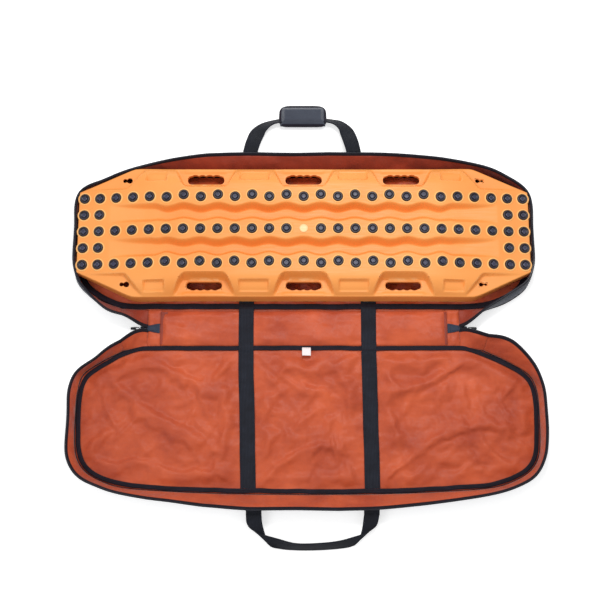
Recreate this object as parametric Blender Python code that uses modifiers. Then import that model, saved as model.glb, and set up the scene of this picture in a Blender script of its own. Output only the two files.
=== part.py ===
"""Vehicle recovery board lying in its opened zip-up carry bag.

Frame: metres, +Z up, origin on the ground under the middle of the board. +X runs along the
board, +Y points to the bag's back carry handle, and the lid lies folded open towards -Y.
"""

import math

import bmesh
import bpy
from mathutils import Matrix, Vector

# ---- driving dimensions of the board ----
BOARD_LENGTH = 1.150
BOARD_WIDTH = 0.336
END_WIDTH = 0.210            # straight part of each end edge
CHAMFER_START = 0.431        # where the long edges start to taper towards the ends
SHELL_THICKNESS = 0.0035
RIDGE_Z = 0.083
CHANNEL_Z = 0.054
EDGE_Z = 0.0515
SKIRT_Z = 0.0065             # lower edge of the skirt along the long sides
SKIRT_END_Z = 0.028          # lower edge of the skirt at the tips
SKIRT_FLARE = (1.0015, 1.006)    # how much longer and wider the skirt's lower edge is
END_DROP = 0.0305            # how far the ridges come down at the tips
POCKET_Z = 0.049
KEYHOLE_PAD_Z = 0.051
GRIP_BAR_Z = 0.060
INDENT_DEPTH = 0.005

# ---- studs ----
STUD_PITCH = 0.0433
STUDS_EACH_WAY = 13
STUD_ROW_Y = 0.087
STUD_ZIGZAG = 0.0027
STUD_RADIUS = 0.012
STUD_HEIGHT = 0.0062
STUD_GAP = 0.0009
STUD_SIDES = 8
STUD_TAPER = 0.86
BADGE_RADII = (0.011, 0.0095)
BADGE_HEIGHT = 0.003
CARRIER_WIDTH = 0.007
CARRIER_LIFT = 0.0012        # underside of a carrier strip above the studs' undersides
CARRIER_THICKNESS = 0.001

# ---- driving dimensions of the bag ----
FOLD_Z = 0.0040              # inner face of the panels, where the folds turn
PANEL_THICKNESS = 0.0024
LINING_THICKNESS = 0.0011
WALL_THICKNESS = 0.0024
GAP = 0.0003
TRAY_FOLD_Y = -0.192
SPINE_WIDTH = 0.096
LID_FOLD_Y = TRAY_FOLD_Y - SPINE_WIDTH
SPINE_MID_Y = TRAY_FOLD_Y - SPINE_WIDTH / 2
SPINE_HALF = 0.362
NOTCH_X = 0.393
RIM_Z = 0.052
TAPE_HEIGHT = 0.008
TAPE_THICKNESS = 0.0034
TAPE_OUTER_SHARE = 0.3       # how far the tape's thickness lies to the outside of the rim line
CLOSED_RIM_GAP = 0.0009      # keeps the two halves' tapes apart when the bag is closed
WALL_FOOT_LIFT = 0.0016      # foot of the walls above the panels
WALL_TOP_GAP = 0.0015        # the leaning walls' upper edges rise a little inside
BINDING_WIDTH = 0.0075
BINDING_THICKNESS = 0.0016
BINDING_SEAM_INSET = 0.0040
BINDING_FOLD_INSET = 0.0028
WEBBING_WIDTH = 0.038
WEBBING_THICKNESS = 0.0014
HANDLE_THICKNESS = 0.0024
ANCHOR_THICKNESS = 0.0018
STRAP_CLEARANCE = 0.002      # between a strap's end and the seam binding
LID_STRAP_END_Y = -0.630
TRAY_STRAP_END_Y = 0.161
STRAPS_X = {"left": -0.139, "right": 0.165}

ORANGE = (1.0, 0.38, 0.09)
RUST = (0.55, 0.095, 0.045)
NAVY = (0.012, 0.014, 0.023)
SLATE = (0.030, 0.037, 0.054)
BLACK = (0.022, 0.020, 0.028)
STEEL = (0.35, 0.35, 0.37)
WHITE = (0.85, 0.85, 0.85)


# ---- scene, materials and objects ----

def clear_scene():
    for obj in list(bpy.data.objects):
        bpy.data.objects.remove(obj)


def new_collection(name):
    made = bpy.data.collections.new(name)
    bpy.context.scene.collection.children.link(made)
    return made


def material(name, colour, roughness, metallic=0.0):
    made = bpy.data.materials.new(name)
    made.use_nodes = True
    shader = made.node_tree.nodes["Principled BSDF"]
    shader.inputs["Base Color"].default_value = (*colour, 1.0)
    shader.inputs["Roughness"].default_value = roughness
    shader.inputs["Metallic"].default_value = metallic
    return made


def add_object(name, mesh, colour, roughness, metallic=0.0, parent=None):
    obj = bpy.data.objects.new(name, mesh)
    PARTS.objects.link(obj)
    mesh.materials.clear()
    mesh.materials.append(material(name + "_material", colour, roughness, metallic))
    if parent is not None:
        obj.parent = parent
        obj.matrix_parent_inverse = Matrix.Translation(-parent.location)
    return obj


def joint_empty(name, location):
    """An empty on a joint's axis, the parent of the pieces that turn or slide there."""
    empty = bpy.data.objects.new(name, None)
    empty.location = location
    PARTS.objects.link(empty)
    return empty


def mesh_from_bmesh(name, bm):
    bmesh.ops.recalc_face_normals(bm, faces=bm.faces)
    mesh = bpy.data.meshes.new(name)
    bm.to_mesh(mesh)
    bm.free()
    return mesh


def solidify(obj, thickness, offset):
    shell = obj.modifiers.new("thickness", "SOLIDIFY")
    shell.thickness = thickness
    shell.offset = offset
    shell.use_even_offset = True
    return shell


# ---- curves and outlines ----

def catmull_rom(points, steps):
    """A smooth open curve through the points, with the same number of steps in each span."""
    points = [Vector(p) for p in points]
    padded = [2 * points[0] - points[1], *points, 2 * points[-1] - points[-2]]
    curve = []
    for a, b, c, d in zip(padded, padded[1:], padded[2:], padded[3:]):
        for k in range(steps):
            t = k / steps
            curve.append(
                0.5 * (2 * b + (c - a) * t + (2 * a - 5 * b + 4 * c - d) * t * t
                       + (3 * b - a - 3 * c + d) * t ** 3)
            )
    curve.append(points[-1])
    return curve


def both_sides(right_half):
    """Adds the mirror image of a curve that starts on the plane x = 0."""
    left = [Vector((-p.x, *p[1:])) for p in reversed(right_half[1:])]
    return left + right_half


def arc(cx, cy, radius, start_deg, end_deg, steps):
    angles = [math.radians(start_deg + (end_deg - start_deg) * k / steps) for k in range(steps + 1)]
    return [Vector((cx + radius * math.cos(a), cy + radius * math.sin(a))) for a in angles]


def rounded_box_outline(x0, x1, y0, y1, radius, steps=4):
    return (
        arc(x1 - radius, y1 - radius, radius, 0, 90, steps)
        + arc(x0 + radius, y1 - radius, radius, 90, 180, steps)
        + arc(x0 + radius, y0 + radius, radius, 180, 270, steps)
        + arc(x1 - radius, y0 + radius, radius, 270, 360, steps)
    )


def extruded_mesh(name, outline, z_low, z_high):
    """A flat outline filled and extruded between two heights."""
    curve = bpy.data.curves.new(name, "CURVE")
    curve.dimensions = "2D"
    curve.fill_mode = "BOTH"
    curve.extrude = (z_high - z_low) / 2
    spline = curve.splines.new("POLY")
    spline.points.add(len(outline) - 1)
    for point, place in zip(spline.points, outline):
        point.co = (place.x, place.y, 0.0, 1.0)
    spline.use_cyclic_u = True
    guide = bpy.data.objects.new(name + "_outline", curve)
    guide.location.z = (z_high + z_low) / 2
    bpy.context.scene.collection.objects.link(guide)
    bpy.context.view_layer.update()
    evaluated = guide.evaluated_get(bpy.context.evaluated_depsgraph_get())
    mesh = bpy.data.meshes.new_from_object(evaluated)
    mesh.transform(guide.matrix_world)
    bpy.data.objects.remove(guide)
    bm = bmesh.new()
    bm.from_mesh(mesh)
    bmesh.ops.remove_doubles(bm, verts=bm.verts, dist=0.00001)
    bpy.data.meshes.remove(mesh)
    return mesh_from_bmesh(name, bm)


def strip_mesh(name, low, high, closed=False):
    """A strip of quads between two curves that have the same number of points."""
    bm = bmesh.new()
    rows = [[bm.verts.new(p) for p in line] for line in (low, high)]
    count = len(low)
    for k in range(count if closed else count - 1):
        n = (k + 1) % count
        bm.faces.new((rows[0][k], rows[0][n], rows[1][n], rows[1][k]))
    mesh = bpy.data.meshes.new(name)
    bm.to_mesh(mesh)
    bm.free()
    return mesh


# ---- the board's surface ----

def smoothstep(t):
    t = min(max(t, 0.0), 1.0)
    return t * t * (3 - 2 * t)


def ridge_height(x):
    """Height of the ridge tops, level in the middle and falling to the tips."""
    along = abs(x)
    slow_fall = 0.002 * min(along / 0.32, 1.0) ** 2
    return RIDGE_Z - slow_fall - (END_DROP - 0.002) * smoothstep((along - 0.300) / 0.275)


def half_width(x):
    """Distance from the middle line to the board's outline."""
    t = (abs(x) - CHAMFER_START) / (BOARD_LENGTH / 2 - CHAMFER_START)
    return BOARD_WIDTH / 2 - (BOARD_WIDTH - END_WIDTH) / 2 * max(t, 0.0)


CHANNEL_SHARE = {0.0: 0, 0.018: 0, 0.034: 1, 0.058: 1, 0.072: 0}
SHOULDER_SHARE = {0.111: 0, 0.117: 0.01, 0.128: 0.04, 0.134: 0.12, 0.152: 0.48, 0.160: 0.70, 0.168: 1}
ACROSS_HALF = [*CHANNEL_SHARE, *SHOULDER_SHARE]
CHANNEL_EDGE = 0.072
POCKET_EDGE = 0.111

# Lines across the board, with their lean outwards over the shoulder: grip pockets at 0 and 0.250,
# plain indents at 0.125 and 0.375, and the tapered end.
GRIP_CENTRES = (0.0, 0.250)
ALONG_HALF = [
    (0.0, 0.0), (0.038, 0.028), (0.044, 0.028), (0.089, 0.0), (0.093, 0.0), (0.157, 0.0),
    (0.161, 0.0), (0.206, -0.028), (0.212, -0.028), (0.250, 0.0), (0.288, 0.028), (0.294, 0.028),
    (0.350, 0.0), (0.354, 0.0), (0.396, 0.0), (0.400, 0.0), (0.435, -0.025), (0.441, -0.025),
    (0.458, 0.0), (0.476, 0.0), (0.492, 0.0), (0.505, 0.0), (0.519, 0.0), (0.533, 0.0),
    (0.548, 0.0), (0.562, 0.0), (BOARD_LENGTH / 2, 0.0),
]
INDENTS = ((0.093, 0.157), (0.354, 0.396))
KEYHOLE_POCKET_X = 0.441
KEYHOLE_X = 0.445              # middle of a keyhole's wide end


def channel_floor(x):
    return CHANNEL_Z + 0.005 * smoothstep((abs(x) - 0.430) / 0.062)


def surface_height(line_x, line_y):
    """Height at the crossing of a line across (named by its x) and a line along (by its y)."""
    along, across = abs(line_x), abs(line_y)
    ridge = ridge_height(along)
    if across <= CHANNEL_EDGE:
        depth = max(ridge - channel_floor(along), 0.0) if along < 0.492 else 0.0
        return ridge - depth * CHANNEL_SHARE[across]
    height = ridge - (ridge - EDGE_Z) * SHOULDER_SHARE[across]
    in_grip = any(abs(along - centre) <= 0.0381 for centre in GRIP_CENTRES)
    if in_grip and 0.117 <= across <= 0.152:
        return POCKET_Z
    if in_grip and across == 0.160:
        return GRIP_BAR_Z
    if along >= KEYHOLE_POCKET_X and 0.117 <= across <= 0.160:
        return KEYHOLE_PAD_Z
    if any(a <= along <= b for a, b in INDENTS) and 0.134 <= across <= 0.152:
        return height - INDENT_DEPTH
    return height


def surface_point(line_x, lean, line_y):
    """Place of a grid crossing, with leaning lines and the taper towards the tips taken in."""
    side = 1 if line_x >= 0 else -1
    over = max(abs(line_y) - POCKET_EDGE, 0.0) / (BOARD_WIDTH / 2 - POCKET_EDGE)
    x = line_x + side * lean * over
    y = line_y
    if abs(line_y) > CHANNEL_EDGE:
        share = (abs(line_y) - CHANNEL_EDGE) / (BOARD_WIDTH / 2 - CHANNEL_EDGE)
        y = CHANNEL_EDGE + (half_width(x) - CHANNEL_EDGE) * share
        y = math.copysign(y, line_y)
    return Vector((x, y, surface_height(line_x, line_y)))


def skirt_bottom(x):
    return SKIRT_Z + (SKIRT_END_Z - SKIRT_Z) * smoothstep((abs(x) - 0.420) / 0.155)


def board_shell(parent, cutters):
    """The moulded board: one thin skin with its skirt, open underneath."""
    across = [-y for y in reversed(ACROSS_HALF[1:])] + ACROSS_HALF
    along = [(-x, lean) for x, lean in reversed(ALONG_HALF[1:])] + ALONG_HALF
    bm = bmesh.new()
    bmesh.ops.create_grid(bm, x_segments=len(along) - 1, y_segments=len(across) - 1, size=1)
    for k, vert in enumerate(bm.verts):
        x, lean = along[k % len(along)]
        vert.co = surface_point(x, lean, across[k // len(along)])
    rim = [e for e in bm.edges if e.is_boundary]
    made = bmesh.ops.extrude_edge_only(bm, edges=rim)["geom"]
    for vert in (v for v in made if isinstance(v, bmesh.types.BMVert)):
        vert.co.z = skirt_bottom(vert.co.x)
        vert.co.x *= SKIRT_FLARE[0]
        vert.co.y *= SKIRT_FLARE[1]
    mesh = mesh_from_bmesh("board_shell", bm)
    if mesh.polygons[len(mesh.polygons) // 2].normal.z < 0:
        mesh.flip_normals()
    board = add_object("board_shell", mesh, ORANGE, 0.42, parent=parent)
    solidify(board, SHELL_THICKNESS, -1)
    for cutter in cutters:
        cut = board.modifiers.new(cutter.name, "BOOLEAN")
        cut.operation = "DIFFERENCE"
        cut.object = cutter
    return board


def cutter_object(name, outline):
    mesh = extruded_mesh(name, outline, 0.020, 0.080)
    obj = bpy.data.objects.new(name, mesh)
    obj.hide_render = True
    obj.display_type = "WIRE"
    CUTTERS.objects.link(obj)
    return obj


def keyhole_outline(side, y):
    """A large round opening that takes a pin head, running into a narrow one that holds it."""
    big, small, apart = 0.0075, 0.0055, 0.012
    reach = math.degrees(math.acos((apart ** 2 + small ** 2 - big ** 2) / (2 * apart * small)))
    open_big = math.degrees(math.acos((apart ** 2 + big ** 2 - small ** 2) / (2 * apart * big)))
    points = arc(0.0, 0.0, big, open_big, 360 - open_big, 12)
    points += arc(apart, 0.0, small, -(180 - reach), 180 - reach, 10)
    return [Vector((side * (KEYHOLE_X + p.x), y + p.y)) for p in points]


def board_cutters():
    cutters = []
    for y_side, row in ((1, "back"), (-1, "front")):
        for x, place in ((-0.250, "left"), (0.0, "middle"), (0.250, "right")):
            low, high = sorted((y_side * 0.128, y_side * 0.1525))
            outline = rounded_box_outline(x - 0.0475, x + 0.0475, low, high, 0.010)
            cutters.append(cutter_object(f"grip_{row}_{place}_cutter", outline))
        for side, place in ((-1, "left"), (1, "right")):
            outline = keyhole_outline(side, y_side * 0.137)
            cutters.append(cutter_object(f"keyhole_{row}_{place}_cutter", outline))
    return cutters


def stud_base(x):
    """Height and lean of the ridge under a stud, on the straight facet between two lines."""
    lines = [line for line, _ in ALONG_HALF]
    high = next(k for k, line in enumerate(lines) if line >= abs(x) - 1e-9 and k > 0)
    a, b = lines[high - 1], lines[high]
    slope = (ridge_height(b) - ridge_height(a)) / (b - a)
    height = ridge_height(a) + slope * (abs(x) - a)
    return height, math.atan(slope) * (1 if x >= 0 else -1)


def stud_row(name, places, carriers, parent):
    """Studs at their places on the ridges, held together by thin carrier strips."""
    bm = bmesh.new()
    for x, y in places:
        height, lean = stud_base(x)
        lift = STUD_GAP + STUD_HEIGHT / 2
        place = Matrix.Translation((x, y, height)) @ Matrix.Rotation(-lean, 4, "Y")
        bmesh.ops.create_cone(
            bm, cap_ends=True, segments=STUD_SIDES, radius1=STUD_RADIUS,
            radius2=STUD_RADIUS * STUD_TAPER, depth=STUD_HEIGHT,
            matrix=place @ Matrix.Translation((0, 0, lift)),
        )
    studs = bpy.data.objects.new(name + "_studs", mesh_from_bmesh(name + "_studs", bm))
    studs.hide_render = True
    studs.display_type = "WIRE"
    CUTTERS.objects.link(studs)
    bm = bmesh.new()
    for line in carriers:
        add_carrier(bm, line)
    row = add_object(name, mesh_from_bmesh(name, bm), BLACK, 0.45, parent=parent)
    join = row.modifiers.new("studs", "BOOLEAN")
    join.operation = "UNION"
    join.object = studs
    join.use_self = True
    return row


def add_carrier(bm, line):
    """A thin strip that follows the ridge from the line's first point to its last."""
    (x0, y0), (x1, y1) = line
    inside = [x for a, _ in ALONG_HALF for x in (a, -a) if x0 < x < x1]
    stations = [x0, *sorted(set(inside)), x1] if y0 == y1 else [x0, x1]
    sections = []
    for k, x in enumerate(stations):
        y = y0 if k < len(stations) - 1 else y1
        height = stud_base(x)[0] + STUD_GAP + CARRIER_LIFT
        across = Vector((0, 1, 0)) if y0 == y1 else Vector((1, 0, 0))
        corners = []
        for side, lift in ((-1, 0), (1, 0), (1, CARRIER_THICKNESS), (-1, CARRIER_THICKNESS)):
            place = Vector((x, y, height + lift)) + across * side * CARRIER_WIDTH / 2
            corners.append(bm.verts.new(place))
        sections.append(corners)
    for a, b in zip(sections, sections[1:]):
        for k in range(4):
            bm.faces.new((a[k], a[(k + 1) % 4], b[(k + 1) % 4], b[k]))
    bm.faces.new(sections[0])
    bm.faces.new(sections[-1])


def stud_places(y, first, last):
    places = []
    for k in range(first, last + 1):
        shift = 0.0
        if y and abs(k) <= 8:
            shift = -STUD_ZIGZAG if k % 2 == 0 else STUD_ZIGZAG
        places.append((k * STUD_PITCH, math.copysign(abs(y) + shift, y) if y else 0.0))
    return places


def studs(parent):
    last = STUDS_EACH_WAY
    reach = last * STUD_PITCH
    inner_y = STUD_ROW_Y / 2
    for side, name in ((1, "stud_row_back"), (-1, "stud_row_front")):
        places = stud_places(side * STUD_ROW_Y, -last, last)
        carriers = [((-reach, side * STUD_ROW_Y), (reach, side * STUD_ROW_Y))]
        for end in (-1, 1):
            places += [(end * k * STUD_PITCH, side * inner_y) for k in (last - 1, last)]
            ends = sorted((end * (last - 1) * STUD_PITCH, end * reach))
            carriers.append(((ends[0], side * inner_y), (ends[1], side * inner_y)))
            link_x = end * (last - 1) * STUD_PITCH
            carriers.append(((link_x, side * inner_y), (link_x, side * STUD_ROW_Y)))
        stud_row(name, places, carriers, parent)
    first = STUD_PITCH
    stud_row("stud_row_middle_left", stud_places(0, -last, -1), [((-reach, 0.0), (-first, 0.0))], parent)
    stud_row("stud_row_middle_right", stud_places(0, 1, last), [((first, 0.0), (reach, 0.0))], parent)


def centre_badge(parent):
    """The plain round boss in the middle of the middle ridge."""
    bm = bmesh.new()
    height = RIDGE_Z + GAP + BADGE_HEIGHT / 2
    bmesh.ops.create_cone(
        bm, cap_ends=True, segments=20, radius1=BADGE_RADII[0], radius2=BADGE_RADII[1],
        depth=BADGE_HEIGHT, matrix=Matrix.Translation((0, 0, height)),
    )
    add_object("centre_badge", mesh_from_bmesh("centre_badge", bm), ORANGE, 0.4, parent=parent)


# ---- the bag's outlines: right half, back to front, as (x, y) seen with the fold at TRAY_FOLD_Y ----

TRAY_RIM = [
    (0.0, 0.210), (0.200, 0.209), (0.330, 0.203), (0.431, 0.190), (0.502, 0.172), (0.558, 0.143),
    (0.585, 0.103), (0.588, 0.040), (0.588, -0.040), (0.585, -0.100), (0.567, -0.145),
    (0.528, -0.178), (0.476, -0.198),
]
TRAY_SEAM = [
    (0.0, 0.177), (0.200, 0.177), (0.330, 0.177), (0.431, 0.176), (0.500, 0.161), (0.556, 0.140),
    (0.582, 0.101), (0.582, 0.038), (0.582, -0.038), (0.579, -0.092), (0.559, -0.134),
    (0.521, -0.167), (0.476, -0.190),
]
LID_RIM = [
    (0.0, 0.214), (0.180, 0.211), (0.320, 0.198), (0.440, 0.180), (0.507, 0.164), (0.558, 0.140),
    (0.587, 0.102), (0.594, 0.050), (0.594, -0.040), (0.589, -0.105), (0.572, -0.152),
    (0.533, -0.182), (0.476, -0.198),
]
LID_SEAM = [
    (0.0, 0.166), (0.180, 0.165), (0.320, 0.159), (0.430, 0.150), (0.492, 0.133), (0.538, 0.107),
    (0.560, 0.074), (0.565, 0.030), (0.565, -0.040), (0.562, -0.095), (0.549, -0.135),
    (0.513, -0.165), (0.466, -0.188),
]
TAPER_END_X = 0.404
TAPER_END_HEIGHT = 0.003
TAPER_OVER_RIM = 0.003       # how far the tapered ends of the walls pass the fold
TAPER_OVER_SEAM = 0.001
CURVE_STEPS = 2


def lid_place(point):
    """Mirrors a point about the middle of the spine, from the tray's side to the lid's."""
    return Vector((point.x, 2 * SPINE_MID_Y - point.y, *point[2:]))


def inward(points, distance):
    """Moves an open outline inwards by a distance, square to its own direction."""
    moved = []
    for k, point in enumerate(points):
        ahead = points[min(k + 1, len(points) - 1)]
        behind = points[max(k - 1, 0)]
        direction = (ahead - behind).to_2d().normalized()
        normal = Vector((direction.y, -direction.x))
        moved.append(point + Vector((normal.x, normal.y, *[0] * (len(point) - 2))) * distance)
    return moved


def capped(curve, top):
    """Keeps a curve from rising above its level part where it turns down at the ends."""
    return [Vector((p.x, p.y, min(p.z, top))) for p in curve]


def wall_curves(rim_points, seam_points, low_z, high_z):
    """The lower and upper edge of a wall, tapering down beside the spine at both ends."""
    end_rim = (TAPER_END_X, TRAY_FOLD_Y - TAPER_OVER_RIM, low_z + TAPER_END_HEIGHT)
    end_seam = (TAPER_END_X, TRAY_FOLD_Y - TAPER_OVER_SEAM, low_z)
    rim = [(x, y, high_z) for x, y in rim_points] + [end_rim]
    seam = [(x, y, low_z) for x, y in seam_points] + [end_seam]
    lower = both_sides(catmull_rom(seam, CURVE_STEPS))
    upper = both_sides(catmull_rom(rim, CURVE_STEPS))
    return lower, capped(upper, high_z)


def panel_outline(seam_points, inset):
    """A closed outline inside the seam, straight along the fold."""
    curve = both_sides(catmull_rom([(x, y) for x, y in seam_points], CURVE_STEPS))
    curve = inward(curve, inset)
    fold = TRAY_FOLD_Y + GAP
    curve = [Vector((p.x, max(p.y, fold))) for p in curve]
    for side in (1, -1):
        corner = Vector((side * (TAPER_END_X + 0.010), fold))
        curve.append(corner) if side == 1 else curve.insert(0, corner)
    return curve


def half_shell(prefix, rim_points, seam_points, place, parent):
    """One half of the bag: outer panel, lining panel, walls, zip tape and seam binding."""
    panel_top = PANEL_THICKNESS
    lining_low = panel_top + GAP
    for name, colour, low, high, rough in (
        ("outer_panel", NAVY, 0.0, panel_top, 0.85),
        ("lining_panel", RUST, lining_low, lining_low + LINING_THICKNESS, 0.4),
    ):
        outline = [place(p) for p in panel_outline(seam_points, 0.0015)]
        mesh = extruded_mesh(prefix + name, outline, low, high)
        add_object(prefix + name, mesh, colour, rough, parent=parent)
    low_z = FOLD_Z + WALL_FOOT_LIFT
    tape_low = RIM_Z - TAPE_HEIGHT
    lower, upper = wall_curves(rim_points, seam_points, low_z, tape_low - WALL_TOP_GAP)
    for name, colour, thickness, distance, offset, rough in (
        ("outer_wall", NAVY, WALL_THICKNESS, 0.0, -1, 0.85),
        ("lining_wall", RUST, LINING_THICKNESS, GAP, 1, 0.4),
    ):
        low = [place(p) for p in inward(lower, distance)]
        high = [place(p) for p in inward(upper, distance)]
        mesh = strip_mesh(prefix + name, low, high)
        wall = add_object(prefix + name, mesh, colour, rough, parent=parent)
        solidify(wall, thickness, offset * wall_side(prefix))
    zip_tape(prefix, rim_points, place, parent, tape_low)
    seam_binding(prefix, seam_points, place, parent)


def wall_side(prefix):
    """The lid is a mirror image, so its strips face the other way."""
    return 1 if prefix == "tray_" else -1


def zip_tape(prefix, rim_points, place, parent, tape_low):
    end_z = FOLD_Z + WALL_FOOT_LIFT + TAPER_END_HEIGHT + WALL_TOP_GAP
    end = (TAPER_END_X, TRAY_FOLD_Y - TAPER_OVER_RIM, end_z)
    low = both_sides(catmull_rom([(x, y, tape_low) for x, y in rim_points] + [end], CURVE_STEPS))
    low = capped(low, tape_low)
    high = [p + Vector((0, 0, TAPE_HEIGHT - CLOSED_RIM_GAP)) for p in low]
    mesh = strip_mesh(prefix + "zip_tape", [place(p) for p in low], [place(p) for p in high])
    tape = add_object(prefix + "zip_tape", mesh, NAVY, 0.7, parent=parent)
    solidify(tape, TAPE_THICKNESS, -TAPE_OUTER_SHARE * wall_side(prefix))


def seam_binding(prefix, seam_points, place, parent):
    outer = panel_outline(seam_points, BINDING_SEAM_INSET)
    outer = [Vector((p.x, max(p.y, TRAY_FOLD_Y + BINDING_FOLD_INSET))) for p in outer]
    centre = Vector((0.0, (outer[0].y + max(p.y for p in outer)) / 2))
    inner = loop_inward(outer, BINDING_WIDTH, centre)
    low = lining_top() + GAP
    rings = [[place(Vector((p.x, p.y, low))) for p in ring] for ring in (outer, inner)]
    mesh = strip_mesh(prefix + "seam_binding", *rings, closed=True)
    binding = add_object(prefix + "seam_binding", mesh, NAVY, 0.8, parent=parent)
    solidify(binding, BINDING_THICKNESS, -wall_side(prefix))


def lining_top():
    return PANEL_THICKNESS + GAP + LINING_THICKNESS


def loop_inward(loop, distance, centre):
    """Moves a closed outline inwards by a distance."""
    moved = []
    count = len(loop)
    for k, point in enumerate(loop):
        before = (point - loop[k - 1]).normalized()
        after = (loop[(k + 1) % count] - point).normalized()
        direction = (before + after).normalized()
        normal = Vector((direction.y, -direction.x))
        if normal.dot(centre - point) < 0:
            normal = -normal
        stretch = max(abs(before.dot(direction)), 0.5)
        moved.append(point + normal * distance / stretch)
    return moved


# ---- webbing ----

def box_mesh(name, low, high):
    bm = bmesh.new()
    size = Vector(high) - Vector(low)
    middle = (Vector(high) + Vector(low)) / 2
    bmesh.ops.create_cube(bm, size=1, matrix=Matrix.Translation(middle) @ Matrix.Diagonal((*size, 1)))
    return mesh_from_bmesh(name, bm)


def strap(name, x, y_low, y_high, parent):
    """A flat length of webbing sewn across the lining."""
    low = lining_top() + GAP
    half = WEBBING_WIDTH / 2
    mesh = box_mesh(name, (x - half, y_low, low), (x + half, y_high, low + WEBBING_THICKNESS))
    add_object(name, mesh, NAVY, 0.8, parent=parent)


def ribbon(name, stations, parent, steps=3):
    """Webbing along stations of (centre, half-width vector), as a thin closed band."""
    centres = catmull_rom([c for c, _ in stations], steps)
    widths = catmull_rom([w for _, w in stations], steps)
    low = [c - w for c, w in zip(centres, widths)]
    high = [c + w for c, w in zip(centres, widths)]
    band = add_object(name, strip_mesh(name, low, high), NAVY, 0.8, parent=parent)
    solidify(band, HANDLE_THICKNESS, 0)
    return band


# Carry handle stations: centre and half-width vector, from the left foot to the right.
BACK_PIVOT = (0.0, 0.2185, 0.046)
BACK_HANDLE = [
    ((-0.137, 0.2200, 0.0460), (0.0190, 0.000, 0.000)),
    ((-0.130, 0.2480, 0.0400), (0.0188, -0.004, 0.001)),
    ((-0.120, 0.2760, 0.0280), (0.0170, -0.009, 0.004)),
    ((-0.104, 0.2970, 0.0200), (0.0080, -0.013, 0.010)),
    ((-0.078, 0.3110, 0.0185), (0.0010, -0.009, 0.009)),
    ((-0.040, 0.3170, 0.0190), (0.0000, -0.008, 0.008)),
    ((0.0, 0.3180, 0.0190), (0.0000, -0.008, 0.008)),
    ((0.040, 0.3170, 0.0190), (0.0000, -0.008, 0.008)),
    ((0.074, 0.3130, 0.0185), (-0.0010, -0.009, 0.009)),
    ((0.096, 0.3030, 0.0200), (-0.0060, -0.013, 0.010)),
    ((0.112, 0.2800, 0.0280), (-0.0160, -0.010, 0.005)),
    ((0.122, 0.2500, 0.0400), (-0.0190, -0.004, 0.001)),
    ((0.129, 0.2200, 0.0460), (-0.0190, 0.000, 0.000)),
]
FRONT_PIVOT = (0.0, -0.7030, 0.030)
FRONT_HANDLE = [
    ((-0.121, -0.7045, 0.0300), (-0.0190, 0.000, 0.000)),
    ((-0.119, -0.7250, 0.0230), (-0.0190, 0.000, 0.000)),
    ((-0.110, -0.7480, 0.0150), (-0.0170, 0.006, 0.002)),
    ((-0.092, -0.7640, 0.0130), (-0.0090, 0.012, 0.006)),
    ((-0.060, -0.7740, 0.0120), (-0.0020, 0.010, 0.009)),
    ((-0.020, -0.7800, 0.0120), (0.0000, 0.008, 0.010)),
    ((0.030, -0.7800, 0.0120), (0.0000, 0.008, 0.010)),
    ((0.080, -0.7760, 0.0120), (0.0010, 0.009, 0.010)),
    ((0.118, -0.7700, 0.0130), (0.0040, 0.011, 0.009)),
    ((0.143, -0.7580, 0.0150), (0.0120, 0.010, 0.005)),
    ((0.158, -0.7350, 0.0200), (0.0180, 0.005, 0.001)),
    ((0.164, -0.7045, 0.0300), (0.0190, 0.000, 0.000)),
]


# Lengths of handle webbing sewn to the walls: lower and upper end, as (y, z).
BACK_ANCHOR = ((0.1825, 0.010), (0.2120, 0.044))
FRONT_ANCHOR = ((-0.6500, 0.010), (-0.6730, 0.030))
PAD_SIZE = (0.118, 0.052, 0.034, 0.004)      # along the webbing, across it, tall, wall
PAD_CENTRE = (-0.002, 0.3265, 0.0190)


def handle(name, stations, parent):
    ribbon(name, [(Vector(c), Vector(w)) for c, w in stations], parent)


def handle_anchor(name, x, edge, out, heights, parent):
    """Webbing sewn up the outside of a wall, below the free part of a carry handle."""
    half = WEBBING_WIDTH / 2
    (low_y, low_z), (high_y, high_z) = heights
    low = [Vector((x + s * half, low_y + out * edge, low_z)) for s in (-1, 1)]
    high = [Vector((x + s * half, high_y + out * edge, high_z)) for s in (-1, 1)]
    mesh = strip_mesh(name, low, high)
    anchor = add_object(name, mesh, NAVY, 0.8, parent=parent)
    solidify(anchor, ANCHOR_THICKNESS, 0)


def handle_pad(parent):
    """The folded grip wrap round the middle of the back handle, a closed sleeve open at its ends."""
    width, depth, height, wall = PAD_SIZE
    bm = bmesh.new()
    outer = rounded_box_outline(-depth / 2, depth / 2, -height / 2, height / 2, 3 * wall)
    inner = rounded_box_outline(
        -depth / 2 + wall, depth / 2 - wall, -height / 2 + wall, height / 2 - wall, 2 * wall
    )
    place = Matrix.Translation(PAD_CENTRE)
    rings = []
    for x in (-width / 2, width / 2):
        for ring in (outer, inner):
            rings.append([bm.verts.new(place @ Vector((x, p.x, p.y))) for p in ring])
    count = len(outer)
    for a, b in ((0, 2), (1, 3), (0, 1), (2, 3)):
        for k in range(count):
            n = (k + 1) % count
            bm.faces.new((rings[a][k], rings[a][n], rings[b][n], rings[b][k]))
    add_object("back_handle_pad", mesh_from_bmesh("back_handle_pad", bm), SLATE, 0.75, parent=parent)


# ---- spine, zip ends and sliders ----

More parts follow.
